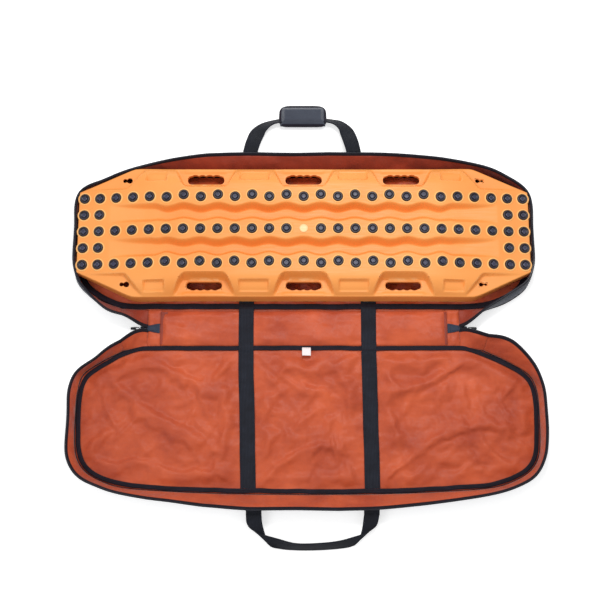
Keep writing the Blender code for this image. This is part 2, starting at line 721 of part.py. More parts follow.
def spine(parent):
    low_y, high_y = LID_FOLD_Y + GAP, TRAY_FOLD_Y - GAP
    outline = rounded_box_outline(-SPINE_HALF, SPINE_HALF, low_y, high_y, 0.002, 1)
    top = PANEL_THICKNESS
    for name, colour, low, high, rough in (
        ("spine_outer_panel", NAVY, 0.0, top, 0.85),
        ("spine_lining_panel", RUST, top + GAP, lining_top(), 0.4),
    ):
        add_object(name, extruded_mesh(name, outline, low, high), colour, rough, parent=parent)
    for side, word in ((-1, "left"), (1, "right")):
        strap(f"spine_strap_{word}", STRAPS_X[word], low_y + 0.003, high_y - 0.003, parent)
        xs = sorted((side * (SPINE_HALF + GAP), side * NOTCH_X))
        mesh = box_mesh(f"spine_end_{word}", (xs[0], low_y, 0.0), (xs[1], high_y, lining_top()))
        add_object(f"spine_end_{word}", mesh, RUST, 0.45, parent=parent)
        xs = sorted((side * (SPINE_HALF + 0.002), side * (NOTCH_X + 0.003)))
        low = lining_top() + GAP
        corner = (xs[0], SPINE_MID_Y - END_TAB_HALF, low)
        opposite = (xs[1], SPINE_MID_Y + END_TAB_HALF, low + END_TAB_THICKNESS)
        mesh = box_mesh(f"zip_end_tab_{word}", corner, opposite)
        add_object(f"zip_end_tab_{word}", mesh, SLATE, 0.7, parent=parent)


END_TAB_HALF = 0.012
END_TAB_THICKNESS = 0.0018
SLIDER_X = NOTCH_X + 0.0045
SLIDER_LENGTH = 0.015
SLIDER_WIDTH = 0.011
SLIDER_HEIGHT = 0.0050
SLIDER_Z = 0.0035
SLIDER_ROUNDING = 0.0009
TAB_PIVOT_X = SLIDER_X + SLIDER_LENGTH + 0.0025
TAB_PIVOT_Z = 0.0045
TAB_THICKNESS = 0.0016
LABEL_X = (-0.004, 0.018)
LABEL_LENGTH = 0.016
LABEL_THICKNESS = 0.0004


def zip_slider(side, word, parent):
    xs = sorted((side * SLIDER_X, side * (SLIDER_X + SLIDER_LENGTH)))
    bm = bmesh.new()
    size = Vector((SLIDER_LENGTH, SLIDER_WIDTH, SLIDER_HEIGHT))
    middle = Vector(((xs[0] + xs[1]) / 2, SPINE_MID_Y, SLIDER_Z))
    bmesh.ops.create_cube(bm, size=1, matrix=Matrix.Translation(middle) @ Matrix.Diagonal((*size, 1)))
    name = f"zip_slider_{word}"
    slider = add_object(name, mesh_from_bmesh(name, bm), STEEL, 0.35, 1.0, parent)
    edges = slider.modifiers.new("rounded_edges", "BEVEL")
    edges.width = SLIDER_ROUNDING
    edges.segments = 2
    return slider


def pull_tab(side, word, parent):
    """A flat pull hinged just past the slider's nose."""
    outline = rounded_box_outline(-0.0015, 0.022, -0.004, 0.004, 0.0015, 3)
    outline = [Vector((side * (TAB_PIVOT_X + p.x), SPINE_MID_Y + p.y)) for p in outline]
    name = f"zip_pull_tab_{word}"
    half = TAB_THICKNESS / 2
    mesh = extruded_mesh(name, outline, TAB_PIVOT_Z - half, TAB_PIVOT_Z + half)
    add_object(name, mesh, BLACK, 0.5, parent=parent)


def care_label(parent):
    low = lining_top() + GAP
    edge = LID_FOLD_Y - BINDING_FOLD_INSET - BINDING_WIDTH - STRAP_CLEARANCE / 2
    near, far = edge - LABEL_LENGTH, edge
    mesh = box_mesh("care_label", (LABEL_X[0], near, low), (LABEL_X[1], far, low + LABEL_THICKNESS))
    add_object("care_label", mesh, WHITE, 0.8, parent=parent)


# ---- assembly ----

def bag():
    tray = joint_empty("tray_origin", (0.0, 0.0, 0.0))
    spine_axis = joint_empty("spine_fold_axis", (0.0, TRAY_FOLD_Y, FOLD_Z))
    lid_axis = joint_empty("lid_fold_axis", (0.0, LID_FOLD_Y, FOLD_Z))
    half_shell("tray_", TRAY_RIM, TRAY_SEAM, lambda p: p, tray)
    half_shell("lid_", LID_RIM, LID_SEAM, lid_place, lid_axis)
    spine(spine_axis)
    inside = BINDING_FOLD_INSET + BINDING_WIDTH + STRAP_CLEARANCE
    for word, x in STRAPS_X.items():
        strap(f"tray_strap_{word}", x, TRAY_FOLD_Y + inside, TRAY_STRAP_END_Y, tray)
        strap(f"lid_strap_{word}", x, LID_STRAP_END_Y, LID_FOLD_Y - inside, lid_axis)
    care_label(lid_axis)
    back_axis = joint_empty("back_handle_axis", BACK_PIVOT)
    front_axis = joint_empty("front_handle_axis", FRONT_PIVOT)
    handle("back_handle_webbing", BACK_HANDLE, back_axis)
    handle_pad(back_axis)
    handle("front_handle_webbing", FRONT_HANDLE, front_axis)
    for word, x in (("left", BACK_HANDLE[0][0][0]), ("right", BACK_HANDLE[-1][0][0])):
        handle_anchor(f"back_handle_anchor_{word}", x, 0.0045, 1, BACK_ANCHOR, tray)
    for word, x in (("left", FRONT_HANDLE[0][0][0]), ("right", FRONT_HANDLE[-1][0][0])):
        handle_anchor(f"front_handle_anchor_{word}", x, 0.0100, -1, FRONT_ANCHOR, lid_axis)
    for side, word in ((-1, "left"), (1, "right")):
        slider_place = (side * SLIDER_X, SPINE_MID_Y, SLIDER_Z)
        zip_slider(side, word, joint_empty(f"zip_slider_{word}_axis", slider_place))
        pull_place = (side * TAB_PIVOT_X, SPINE_MID_Y, TAB_PIVOT_Z)
        pull_tab(side, word, joint_empty(f"zip_pull_tab_{word}_axis", pull_place))


def board():
    seat = joint_empty("board_lift_axis", (0.0, 0.0, SKIRT_Z))
    board_shell(seat, board_cutters())
    studs(seat)
    centre_badge(seat)


clear_scene()
PARTS = new_collection("recovery_board_in_carry_bag")
CUTTERS = new_collection("cutters")
bag()
board()
bpy.context.view_layer.update()
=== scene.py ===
"""Looks of the vehicle recovery board lying in its opened zip-up carry bag.

Metres, +Z up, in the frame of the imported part: the origin is on the ground under the middle of
the board, +X runs along the board, and the bag's lid lies folded open towards -Y.
"""

import math

import bmesh
import bpy
import numpy as np
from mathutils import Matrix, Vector, noise


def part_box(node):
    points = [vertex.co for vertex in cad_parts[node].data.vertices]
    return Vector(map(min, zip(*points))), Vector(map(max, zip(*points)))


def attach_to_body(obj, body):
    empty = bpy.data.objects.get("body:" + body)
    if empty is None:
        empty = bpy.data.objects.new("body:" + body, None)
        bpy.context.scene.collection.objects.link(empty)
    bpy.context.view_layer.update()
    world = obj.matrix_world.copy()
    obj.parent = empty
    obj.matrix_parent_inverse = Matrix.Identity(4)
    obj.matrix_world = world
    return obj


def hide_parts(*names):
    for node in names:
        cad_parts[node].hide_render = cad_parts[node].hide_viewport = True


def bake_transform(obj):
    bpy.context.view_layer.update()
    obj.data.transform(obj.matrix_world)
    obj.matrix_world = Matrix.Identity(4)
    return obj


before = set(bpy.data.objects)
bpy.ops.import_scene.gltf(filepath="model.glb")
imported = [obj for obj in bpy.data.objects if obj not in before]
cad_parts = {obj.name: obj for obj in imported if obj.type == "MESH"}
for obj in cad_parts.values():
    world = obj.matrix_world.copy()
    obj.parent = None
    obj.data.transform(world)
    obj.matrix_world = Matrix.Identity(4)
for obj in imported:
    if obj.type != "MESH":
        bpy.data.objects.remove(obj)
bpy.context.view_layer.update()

# ---- the board, in the frame of the CAD ----
BOARD_HALF_LENGTH = 0.5700
BOARD_HALF_WIDTH = 0.1665
END_HALF_WIDTH = 0.1040
CHAMFER_START = 0.431
CHAMFER_ROUNDING = 0.016
SHELL_THICKNESS = 0.0032
RIDGE_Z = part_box("centre_badge")[0].z - 0.0003
CHANNEL_Z = 0.054
EDGE_Z = 0.0515
SKIRT_Z = 0.0065
SKIRT_END_Z = 0.028
END_DROP = 0.0305
POCKET_Z = 0.049
KEYHOLE_PAD_Z = 0.051
GRIP_BAR_Z = 0.0535
INDENT_DEPTH = 0.0095
KEYHOLE_X = 0.445
KEYHOLE_Y = 0.137
STUD_PITCH = 0.0433
STUDS_EACH_WAY = 13
STUD_ROW_Y = 0.087
STUD_ZIGZAG = 0.0027
ZIGZAG_REACH = 8
CHANNEL_EDGE = 0.072
POCKET_EDGE = 0.111
SHOULDER_START = 0.118
SHOULDER_WIDTH = 0.050
OUTER_LINE = 0.168               # the name of the lengthwise line that runs along the outline

# ---- the bag, as in the CAD ----
TRAY_FOLD_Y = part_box("spine_outer_panel")[1].y + 0.0003
LID_FOLD_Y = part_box("spine_outer_panel")[0].y - 0.0003
SPINE_MID_Y = (TRAY_FOLD_Y + LID_FOLD_Y) / 2
# For each half, where it folds against the spine and which way it lies from there.
FOLDS = {"tray": (TRAY_FOLD_Y, 1), "lid": (LID_FOLD_Y, -1)}
SPINE_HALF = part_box("spine_outer_panel")[1].x
NOTCH_X = 0.393                  # the end of the zip, at the notch beside the spine
WALL_END_X = 0.456               # where the wall starts to twist down towards the notch
LINING_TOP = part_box("tray_lining_panel")[1].z
RIM_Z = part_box("tray_zip_tape")[1].z
WEBBING_WIDTH = 0.038

# ---- the bag's outlines, as the photo shows them ----
# Each holds the right half of an outline, from the middle of its long side to the corner beside
# the spine. The lid's are written on the tray's side too, and mirrored about the spine's middle.
RIM = {
    "tray": [
        (0.0, 0.210), (0.200, 0.209), (0.310, 0.202), (0.389, 0.191), (0.475, 0.171),
        (0.526, 0.144), (0.562, 0.111), (0.576, 0.070), (0.579, 0.010), (0.578, -0.045),
        (0.571, -0.090), (0.554, -0.128), (0.504, -0.166), (0.456, -0.195),
    ],
    "lid": [
        (0.0, 0.2105), (0.138, 0.2090), (0.232, 0.2025), (0.326, 0.1925), (0.441, 0.1750),
        (0.504, 0.157), (0.550, 0.130), (0.575, 0.086), (0.5832, 0.030), (0.5832, -0.030),
        (0.579, -0.085), (0.562, -0.136), (0.522, -0.172), (0.456, -0.198),
    ],
}
SEAM = {
    "tray": [
        (0.0, 0.177), (0.200, 0.177), (0.310, 0.177), (0.389, 0.177), (0.470, 0.166),
        (0.524, 0.144), (0.562, 0.112), (0.579, 0.070), (0.581, 0.010), (0.581, -0.048),
        (0.575, -0.096), (0.560, -0.135), (0.513, -0.169), (0.460, -0.189),
    ],
    "lid": [
        (0.0, 0.176), (0.130, 0.175), (0.225, 0.173), (0.325, 0.169), (0.441, 0.161),
        (0.500, 0.146), (0.547, 0.119), (0.570, 0.082), (0.576, 0.030), (0.576, -0.030),
        (0.573, -0.080), (0.558, -0.121), (0.512, -0.153), (0.452, -0.183),
    ],
}
# How near each rim may come to the board's outline, seen from above.
BOARD_GAP = {"tray": 0.0060, "lid": 0.0020}
# Where the photo's rims leave their even line: centre, reach and shift.
TUCKS = {
    "tray": (((-0.465, 0.165), 0.110, (0.004, -0.017)), ((-0.500, -0.178), 0.065, (0.000, -0.024))),
    "lid": (((-0.540, -0.162), 0.060, (0.018, 0.010)), ((0.500, -0.183), 0.065, (0.006, -0.021))),
}
LID_SHIFT = 0.009                # the opened lid lies a little to the right of the tray


# ---- numbers and curves ----

def smoothstep(t):
    """0 below 0 and 1 above 1, with an even curve between."""
    t = np.clip(t, 0.0, 1.0)
    return t * t * (3 - 2 * t)


def catmull_rom(points, steps):
    """A smooth open curve through the points, as an array with one row for each place."""
    p = np.array(points, float)
    p = np.vstack([2 * p[0] - p[1], p, 2 * p[-1] - p[-2]])
    t = np.arange(steps)[:, None] / steps
    spans = []
    for a, b, c, d in zip(p, p[1:], p[2:], p[3:]):
        spans.append(
            0.5 * (2 * b + (c - a) * t + (2 * a - 5 * b + 4 * c - d) * t ** 2
                   + (3 * b - a - 3 * c + d) * t ** 3)
        )
    return np.vstack([*spans, p[-2]])


def lengths(curve):
    """Distance along a line at each of its places."""
    steps = np.linalg.norm(np.diff(curve, axis=0), axis=1)
    return np.concatenate([[0.0], np.cumsum(steps)])


def resample(curve, count):
    """The same curve with evenly spaced places."""
    at = lengths(curve)
    wanted = np.linspace(0, at[-1], count)
    return np.column_stack([np.interp(wanted, at, column) for column in curve.T])


def both_sides(right_half):
    """A curve that starts on the plane x = 0, with its mirror image before it."""
    left = right_half[:0:-1] * np.array([-1.0] + [1.0] * (right_half.shape[1] - 1))
    return np.vstack([left, right_half])


def tangents(curve, closed=False):
    """Unit direction of a line at each of its places."""
    if closed:
        t = np.roll(curve, -1, axis=0) - np.roll(curve, 1, axis=0)
    else:
        t = np.gradient(curve, axis=0)
    return t / np.linalg.norm(t, axis=1)[:, None]


def outward(curve, closed=False):
    """Sideways directions of a flat curve that runs clockwise, seen from above."""
    t = tangents(curve[:, :2], closed)
    return np.column_stack([-t[:, 1], t[:, 0]])


def level_frame(away):
    """Sideways and upward directions of a band that lies level, from its flat outward ones."""
    side = np.column_stack([away, np.zeros(len(away))])
    return side, np.tile([0.0, 0.0, 1.0], (len(away), 1))


def band_frame(centres, facing=(0, 0, 1)):
    """Directions of a band whose width runs along X: sideways, and up on the side it faces."""
    side = np.tile([1.0, 0.0, 0.0], (len(centres), 1))
    up = np.cross(side, tangents(centres))
    return side, up * np.sign((up * facing).sum(axis=1))[:, None]


def polygon_distance(places, polygon):
    """Distance of each place to a closed outline, negative inside, and the nearest place on it."""
    a = polygon
    b = np.roll(polygon, -1, axis=0)
    best = np.full(len(places), np.inf)
    nearest = np.zeros_like(places)
    inside = np.zeros(len(places), bool)
    for p, q in zip(a, b):
        d = q - p
        t = np.clip(((places - p) @ d) / (d @ d), 0, 1)
        foot = p + t[:, None] * d
        distance = np.linalg.norm(places - foot, axis=1)
        closer = distance < best
        best[closer] = distance[closer]
        nearest[closer] = foot[closer]
        crosses = (p[1] > places[:, 1]) != (q[1] > places[:, 1])
        if d[1] != 0:
            crossing_x = p[0] + (places[:, 1] - p[1]) * d[0] / d[1]
            inside ^= crosses & (places[:, 0] < crossing_x)
    return np.where(inside, -best, best), nearest


def arc(cx, cy, radius, start_deg, end_deg, steps):
    """Places along an arc, angles in degrees."""
    angles = np.radians(np.linspace(start_deg, end_deg, steps + 1))
    return np.column_stack([cx + radius * np.cos(angles), cy + radius * np.sin(angles)])


def rounded_profile(width, height, radius, steps=3):
    """A closed rounded rectangle about the origin."""
    x, y = width / 2 - radius, height / 2 - radius
    corners = ((x, y, 0), (-x, y, 90), (-x, -y, 180), (x, -y, 270))
    return np.vstack([arc(cx, cy, radius, start, start + 90, steps) for cx, cy, start in corners])


def ripple(places, size, seed):
    """Smooth noise, -1 to 1, with features of about this size; flat places lie at z = 0."""
    offset = Vector((seed * 17.3, seed * 5.1, seed * 9.7))
    if places.shape[1] == 2:
        places = np.column_stack([places, np.zeros(len(places))])
    return np.array([noise.noise(Vector(p) / size + offset) for p in places])


# ---- meshes ----

def grid_faces(rows, cols, wrap_rows=False, wrap_cols=False):
    """Faces that join a grid of vertices, rows and columns."""
    i = np.arange(rows if wrap_rows else rows - 1)
    j = np.arange(cols if wrap_cols else cols - 1)
    i, j = np.meshgrid(i, j, indexing="ij")
    i2, j2 = (i + 1) % rows, (j + 1) % cols
    quads = [i * cols + j, i * cols + j2, i2 * cols + j2, i2 * cols + j]
    return np.stack(quads, axis=-1).reshape(-1, 4)


# A small solid of four rings of four places, closed at both ends.
BEAD_FACES = [list(f) for f in grid_faces(4, 4, wrap_cols=True)] + [[3, 2, 1, 0], [12, 13, 14, 15]]


def add_piece(name, verts, faces, material, uvs=None, smooth=True):
    """A mesh object. uvs holds one place in metres for each corner of each face."""
    mesh = bpy.data.meshes.new(name)
    mesh.from_pydata([tuple(v) for v in verts], [], [tuple(map(int, f)) for f in faces])
    if uvs is not None:
        layer = mesh.uv_layers.new(name="cloth")
        layer.data.foreach_set("uv", np.asarray(uvs, np.float32).ravel())
    mesh.update()
    if smooth:
        mesh.shade_smooth()
    mesh.materials.append(material)
    obj = bpy.data.objects.new(name, mesh)
    bpy.context.scene.collection.objects.link(obj)
    return obj


def add_used(name, places, faces, material):
    """A mesh object of these faces, without the places that none of them uses."""
    used = np.unique(faces)
    index = np.full(len(places), -1)
    index[used] = np.arange(len(used))
    return add_piece(name, places[used], index[faces], material)


def recalculate_normals(obj):
    """Turns every face of a closed piece outwards."""
    bm = bmesh.new()
    bm.from_mesh(obj.data)
    bmesh.ops.recalc_face_normals(bm, faces=bm.faces)
    bm.to_mesh(obj.data)
    bm.free()


def apply_modifiers(obj):
    """Keeps the shape that the modifiers give and removes them."""
    graph = bpy.context.evaluated_depsgraph_get()
    mesh = bpy.data.meshes.new_from_object(obj.evaluated_get(graph), depsgraph=graph)
    obj.modifiers.clear()
    obj.data = mesh


def thicken(obj, thickness, offset):
    """Gives a surface its thickness, to both sides for an offset of 0 and below it for -1."""
    shell = obj.modifiers.new("thickness", "SOLIDIFY")
    shell.thickness = thickness
    shell.offset = offset
    apply_modifiers(obj)


def sharpen(obj, degrees):
    """Keeps edges that turn by more than this angle crisp under smooth shading."""
    obj.data.set_sharp_from_angle(angle=math.radians(degrees))


def attach(obj, body, node=None):
    """Lets a piece ride on a body, and hides the CAD node it replaces."""
    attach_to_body(obj, body)
    if node:
        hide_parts(node)


def bend_at_fold(obj):
    """Bakes a piece's placement into its mesh, without binding it to the half or the spine."""
    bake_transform(obj)


def sweep(name, centres, side, up, profile, material, closed=False):
    """A solid band: the profile carried along the centres, with its own cloth coordinates."""
    rows, cols = len(centres), len(profile)
    places = (
        centres[:, None, :]
        + profile[None, :, :1] * side[:, None, :]
        + profile[None, :, 1:] * up[:, None, :]
    ).reshape(-1, 3)
    faces = grid_faces(rows, cols, wrap_rows=closed, wrap_cols=True)
    along = lengths(np.vstack([centres, centres[:1]]))
    v = along[faces // cols]
    if closed:
        last = (faces // cols)[:, 0] == rows - 1
        v[last] = np.where((faces[last] // cols) == 0, along[-1], v[last])
    u = profile[:, 0][faces % cols]
    uvs = list(np.stack([u, v], axis=-1).reshape(-1, 2))
    faces = [list(f) for f in faces]
    if not closed:
        for ring, order in ((0, 1), (rows - 1, -1)):
            cap = [ring * cols + k for k in range(cols)][::order]
            faces.append(cap)
            uvs += [(profile[k % cols, 0], along[ring]) for k in cap]
    obj = add_piece(name, places, faces, material, uvs)
    recalculate_normals(obj)
    sharpen(obj, degrees=50)
    return obj


def sheet(name, places, material, thickness):
    """Thin cloth from a grid of places, rows by columns, that runs through its middle."""
    rows, cols = places.shape[:2]
    obj = add_piece(name, places.reshape(-1, 3), grid_faces(rows, cols), material)
    thicken(obj, thickness, offset=0)
    recalculate_normals(obj)
    return obj


def trimmed_sheet(name, outline, z, spacing, material, lift):
    """A flat grid cut to a closed outline, its border moved onto the outline, and then lifted."""
    low, high = outline.min(axis=0), outline.max(axis=0)
    counts = np.ceil((high - low) / spacing).astype(int) + 1
    xs, ys = (np.linspace(low[k], high[k], counts[k]) for k in (0, 1))
    x, y = np.meshgrid(xs, ys)
    flat = np.column_stack([x.ravel(), y.ravel()])
    distance, nearest = polygon_distance(flat, outline)
    faces = grid_faces(counts[1], counts[0])
    faces = faces[(distance[faces] < -0.1 * spacing).any(axis=1)]
    border = distance > -0.3 * spacing
    flat[border] = nearest[border]
    heights = z + lift(flat, -np.minimum(distance, 0.0))
    obj = add_used(name, np.column_stack([flat, heights]), faces, material)
    clean_border(obj)
    return obj


def clean_border(obj):
    """Removes the slivers that moving a border onto an outline leaves."""
    bm = bmesh.new()
    bm.from_mesh(obj.data)
    bmesh.ops.remove_doubles(bm, verts=bm.verts, dist=0.0002)
    slivers = [f for f in bm.faces if f.calc_area() < 1e-7]
    bmesh.ops.delete(bm, geom=slivers, context="FACES")
    loose = [v for v in bm.verts if not v.link_faces]
    bmesh.ops.delete(bm, geom=loose, context="VERTS")
    bm.to_mesh(obj.data)
    bm.free()


def copies(name, shape_verts, shape_faces, matrices, material, smooth=True):
    """One mesh that holds a copy of a small shape at each 4x4 matrix."""
    shape_verts = np.asarray(shape_verts, float)
    count = len(shape_verts)
    verts, faces = [], []
    for k, m in enumerate(matrices):
        verts.append(shape_verts @ m[:3, :3].T + m[:3, 3])
        faces += [[v + k * count for v in f] for f in shape_faces]
    return add_piece(name, np.vstack(verts), faces, material, smooth=smooth)


def placement(origin, x_axis, z_axis):
    """A 4x4 that puts a shape at a place, its x along one direction and its z near another."""
    x = np.asarray(x_axis, float)
    x = x / np.linalg.norm(x)
    y = np.cross(z_axis, x)
    y = y / np.linalg.norm(y)
    m = np.eye(4)
    m[:3, 0], m[:3, 1], m[:3, 2], m[:3, 3] = x, y, np.cross(x, y), origin
    return m


def lathe(profile, sides):
    """Vertices and faces of a turned shape, from (radius, height) places; radius 0 ends it."""
    angles = np.linspace(0, 2 * math.pi, sides, endpoint=False)
    ring = np.column_stack([np.cos(angles), np.sin(angles)])
    verts, faces, rings = [], [], []
    for radius, height in profile:
        if radius == 0:
            rings.append([len(verts)])
            verts.append((0.0, 0.0, height))
            continue
        rings.append(list(range(len(verts), len(verts) + sides)))
        verts += [(radius * c, radius * s, height) for c, s in ring]
    for low, high in zip(rings, rings[1:]):
        for k in range(sides):
            n = (k + 1) % sides
            if len(high) == 1:
                faces.append([low[k], low[n], high[0]])
            elif len(low) == 1:
                faces.append([low[0], high[n], high[k]])
            else:
                faces.append([low[k], low[n], high[n], high[k]])
    return verts, faces


STITCH_PITCH = 0.0045
STITCH_LENGTH = 0.0030
STITCH_WIDTH = 0.0008


def stitch_line(name, path, up, material, body, pitch=STITCH_PITCH):
    """A row of separate sewn stitches along a path, each a small raised bead of thread."""
    path = np.asarray(path, float)
    count = max(int(lengths(path)[-1] / pitch), 2)
    dense = resample(path, count)
    ups = np.broadcast_to(np.asarray(up, float), dense.shape)
    half, r = STITCH_LENGTH / 2, STITCH_WIDTH / 2
    verts = []
    for x, scale in ((-half, 0.35), (-half * 0.6, 1.0), (half * 0.6, 1.0), (half, 0.35)):
        for y, z in ((-1, -0.4), (-0.6, 0.9), (0.6, 0.9), (1, -0.4)):
            verts.append((x, y * r * scale, z * r * scale))
    matrices = [placement(o, d, u) for o, d, u in zip(dense, tangents(dense), ups)]
    attach(copies(name, verts, BEAD_FACES, matrices, material), body)


# ---- materials ----

def srgb(r, g, b):
    """Linear colour from the usual 0 to 255 values."""
    def linear(c):
        c /= 255
        return c / 12.92 if c <= 0.04045 else ((c + 0.055) / 1.055) ** 2.4
    return (linear(r), linear(g), linear(b), 1.0)


def add_node(tree, kind, inputs=None, **settings):
    """A shader node with some of its inputs set or linked."""
    made = tree.nodes.new("ShaderNode" + kind)
    for key, value in settings.items():
        setattr(made, key, value)
    for key, value in (inputs or {}).items():
        if isinstance(value, bpy.types.NodeSocket):
            tree.links.new(value, made.inputs[key])
        else:
            made.inputs[key].default_value = value
    return made


def noise_value(tree, coords, scale, detail=3.0, rough=0.5):
    """A noise texture's value."""
    inputs = {"Vector": coords, "Scale": scale, "Detail": detail, "Roughness": rough}
    return add_node(tree, "TexNoise", inputs).outputs["Fac"]


def remap(tree, value, low, high, to_low, to_high):
    """A value moved from one range to another."""
    inputs = {"Value": value, "From Min": low, "From Max": high}
    inputs |= {"To Min": to_low, "To Max": to_high}
    return add_node(tree, "MapRange", inputs).outputs["Result"]


def math_node(tree, operation, a, b):
    """The result of a math node."""
    return add_node(tree, "Math", {0: a, 1: b}, operation=operation).outputs[0]


def mix_colours(tree, factor, a, b):
    """Colour a where the factor is 0 and colour b where it is 1."""
    return add_node(tree, "Mix", {0: factor, 6: a, 7: b}, data_type="RGBA").outputs[2]


def bump(tree, height, distance, strength=1.0, normal=None):
    """A normal from a height."""
    inputs = {"Height": height, "Distance": distance, "Strength": strength}
    if normal is not None:
        inputs["Normal"] = normal
    return add_node(tree, "Bump", inputs).outputs["Normal"]


def new_material(name):
    """An empty node material with its shader and texture coordinates."""
    made = bpy.data.materials.new(name)
    made.use_nodes = True
    tree = made.node_tree
    shader = tree.nodes["Principled BSDF"]
    coords = add_node(tree, "TexCoord")
    return made, tree, shader, coords


def set_inputs(tree, shader, **values):
    """Sets or links the shader's inputs, underscores standing for spaces."""
    for key, value in values.items():
        socket = shader.inputs[key.replace("_", " ")]
        if isinstance(value, bpy.types.NodeSocket):
            tree.links.new(value, socket)
        else:
            socket.default_value = value


def thread_waves(tree, coords, threads_per_metre):
    """Height of crossing threads, from one wave for each of the three directions, 0 to 3."""
    total = None
    for direction in "XYZ":
        inputs = {"Vector": coords, "Scale": threads_per_metre / 3.2, "Distortion": 0.4}
        inputs["Detail"] = 1.0
        wave = add_node(tree, "TexWave", inputs, bands_direction=direction).outputs["Fac"]
        total = wave if total is None else math_node(tree, "ADD", total, wave)
    return total


def fabric(name, light, dark, roughness, sheen, threads, weave_height, crease_height=0.0004,
           crease_strength=0.5, rumple=0.0):
    """Woven cloth: crossing threads, slow changes of shade, small creases and soft rumples."""
    made, tree, shader, coords = new_material(name)
    place = coords.outputs["Object"]
    slow = noise_value(tree, place, scale=9.0, detail=4.0, rough=0.6)
    shade = remap(tree, slow, 0.3, 0.7, 0.0, 1.0)
    weave = thread_waves(tree, place, threads)
    thread_shade = remap(tree, weave, 0.0, 3.0, 0.0, 0.35)
    colour = mix_colours(tree, shade, dark, light)
    colour = mix_colours(tree, thread_shade, colour, light)
    fine = noise_value(tree, place, scale=160.0, detail=2.0, rough=0.6)
    rough = remap(tree, fine, 0.3, 0.7, roughness - 0.06, roughness + 0.08)
    creases = noise_value(tree, place, scale=38.0, detail=5.0, rough=0.62)
    normal = bump(tree, creases, crease_height * 10, crease_strength)
    if rumple:
        turned = {"Vector": place, "Rotation": (0, 0, 0.6), "Scale": (5.0, 13.0, 8.0)}
        rumples = add_node(tree, "Mapping", turned).outputs[0]
        soft = noise_value(tree, rumples, scale=1.0, detail=2.5, rough=0.5)
        normal = bump(tree, soft, rumple, strength=0.8, normal=normal)
    normal = bump(tree, weave, weave_height, 0.6, normal)
    set_inputs(tree, shader, Base_Color=colour, Roughness=rough, Normal=normal,
               Sheen_Weight=sheen, Sheen_Roughness=0.45, IOR=1.42)
    return made


def webbing_material(name, light, dark):
    """Woven strap: lengthwise ribs crossed by fine weft, with a worn, paler nap on the ribs."""
    made, tree, shader, coords = new_material(name)
    place = coords.outputs["UV"]
    rib_inputs = {"Vector": place, "Scale": 85.0}
    ribs = add_node(tree, "TexWave", rib_inputs, bands_direction="X").outputs["Fac"]
    weft_inputs = {"Vector": place, "Scale": 190.0, "Distortion": 1.2, "Detail": 1.0}
    weft = add_node(tree, "TexWave", weft_inputs, bands_direction="Y").outputs["Fac"]
    height = math_node(tree, "ADD", ribs, math_node(tree, "MULTIPLY", weft, 0.6))
    wear = noise_value(tree, coords.outputs["Object"], scale=30.0, detail=5.0, rough=0.7)
    wear = remap(tree, wear, 0.35, 0.75, 0.0, 1.0)
    colour = mix_colours(tree, math_node(tree, "MULTIPLY", wear, ribs), dark, light)
    normal = bump(tree, height, distance=0.0007, strength=0.8)
    rough = remap(tree, weft, 0.0, 1.0, 0.52, 0.75)
    set_inputs(tree, shader, Base_Color=colour, Roughness=rough, Normal=normal,
               Sheen_Weight=0.06, Sheen_Roughness=0.4, Specular_IOR_Level=0.25)
    return made


def moulded_plastic(name, light, dark, roughness, grain, wear_and_highlight_colour=None):
    """Moulded plastic: fine grain, slow changes of shade, raised edges paler with wear and painted
    highlight.
    """
    made, tree, shader, coords = new_material(name)
    place = coords.outputs["Object"]
    slow = noise_value(tree, place, scale=5.0, detail=4.0, rough=0.55)
    slow = remap(tree, slow, 0.3, 0.7, 0.0, 1.0)
    colour = mix_colours(tree, slow, dark, light)
    if wear_and_highlight_colour:
        # Raised edges get a paler colour: partly scuffs, partly painted highlight, such as the
        # studs' light rims.
        edges = add_node(tree, "NewGeometry").outputs["Pointiness"]
        edges = remap(tree, edges, 0.515, 0.60, 0.0, 1.0)
        scuffs = noise_value(tree, place, scale=60.0, detail=6.0, rough=0.7)
        scuffs = remap(tree, scuffs, 0.42, 0.66, 0.0, 1.0)
        worn = math_node(tree, "MULTIPLY", math_node(tree, "MULTIPLY", edges, scuffs), 0.55)
        colour = mix_colours(tree, worn, colour, srgb(*wear_and_highlight_colour))
    fine = noise_value(tree, place, scale=1100.0, detail=2.0, rough=0.5)
    coarse = noise_value(tree, place, scale=24.0, detail=3.0, rough=0.5)
    scratches_place = add_node(tree, "Mapping", {"Vector": place, "Scale": (18.0, 260.0, 60.0)})
    scratches = noise_value(tree, scratches_place.outputs[0], scale=1.0, detail=4.0, rough=0.6)
    normal = bump(tree, coarse, distance=0.0012, strength=0.25)
    normal = bump(tree, fine, grain, 0.35, normal)
    rough = remap(tree, scratches, 0.35, 0.7, roughness - 0.05, roughness + 0.10)
    set_inputs(tree, shader, Base_Color=colour, Roughness=rough, Normal=normal, IOR=1.5)
    return made


def cast_metal(name, colour, roughness):
    """Zip metal: brushed, a little uneven, darker in random patches."""
    made, tree, shader, coords = new_material(name)
    place = coords.outputs["Object"]
    marks = add_node(tree, "Mapping", {"Vector": place, "Scale": (1200.0, 120.0, 400.0)})
    brushed = noise_value(tree, marks.outputs[0], scale=1.0, detail=3.0, rough=0.6)
    tone = noise_value(tree, place, scale=300.0, detail=3.0, rough=0.5)
    darker = tuple(0.55 * c for c in colour[:3]) + (1.0,)
    set_inputs(tree, shader, Base_Color=mix_colours(tree, tone, darker, colour), Metallic=1.0,
               Roughness=remap(tree, brushed, 0.3, 0.7, roughness - 0.08, roughness + 0.12),
               Normal=bump(tree, brushed, distance=0.0001, strength=0.4))
    return made
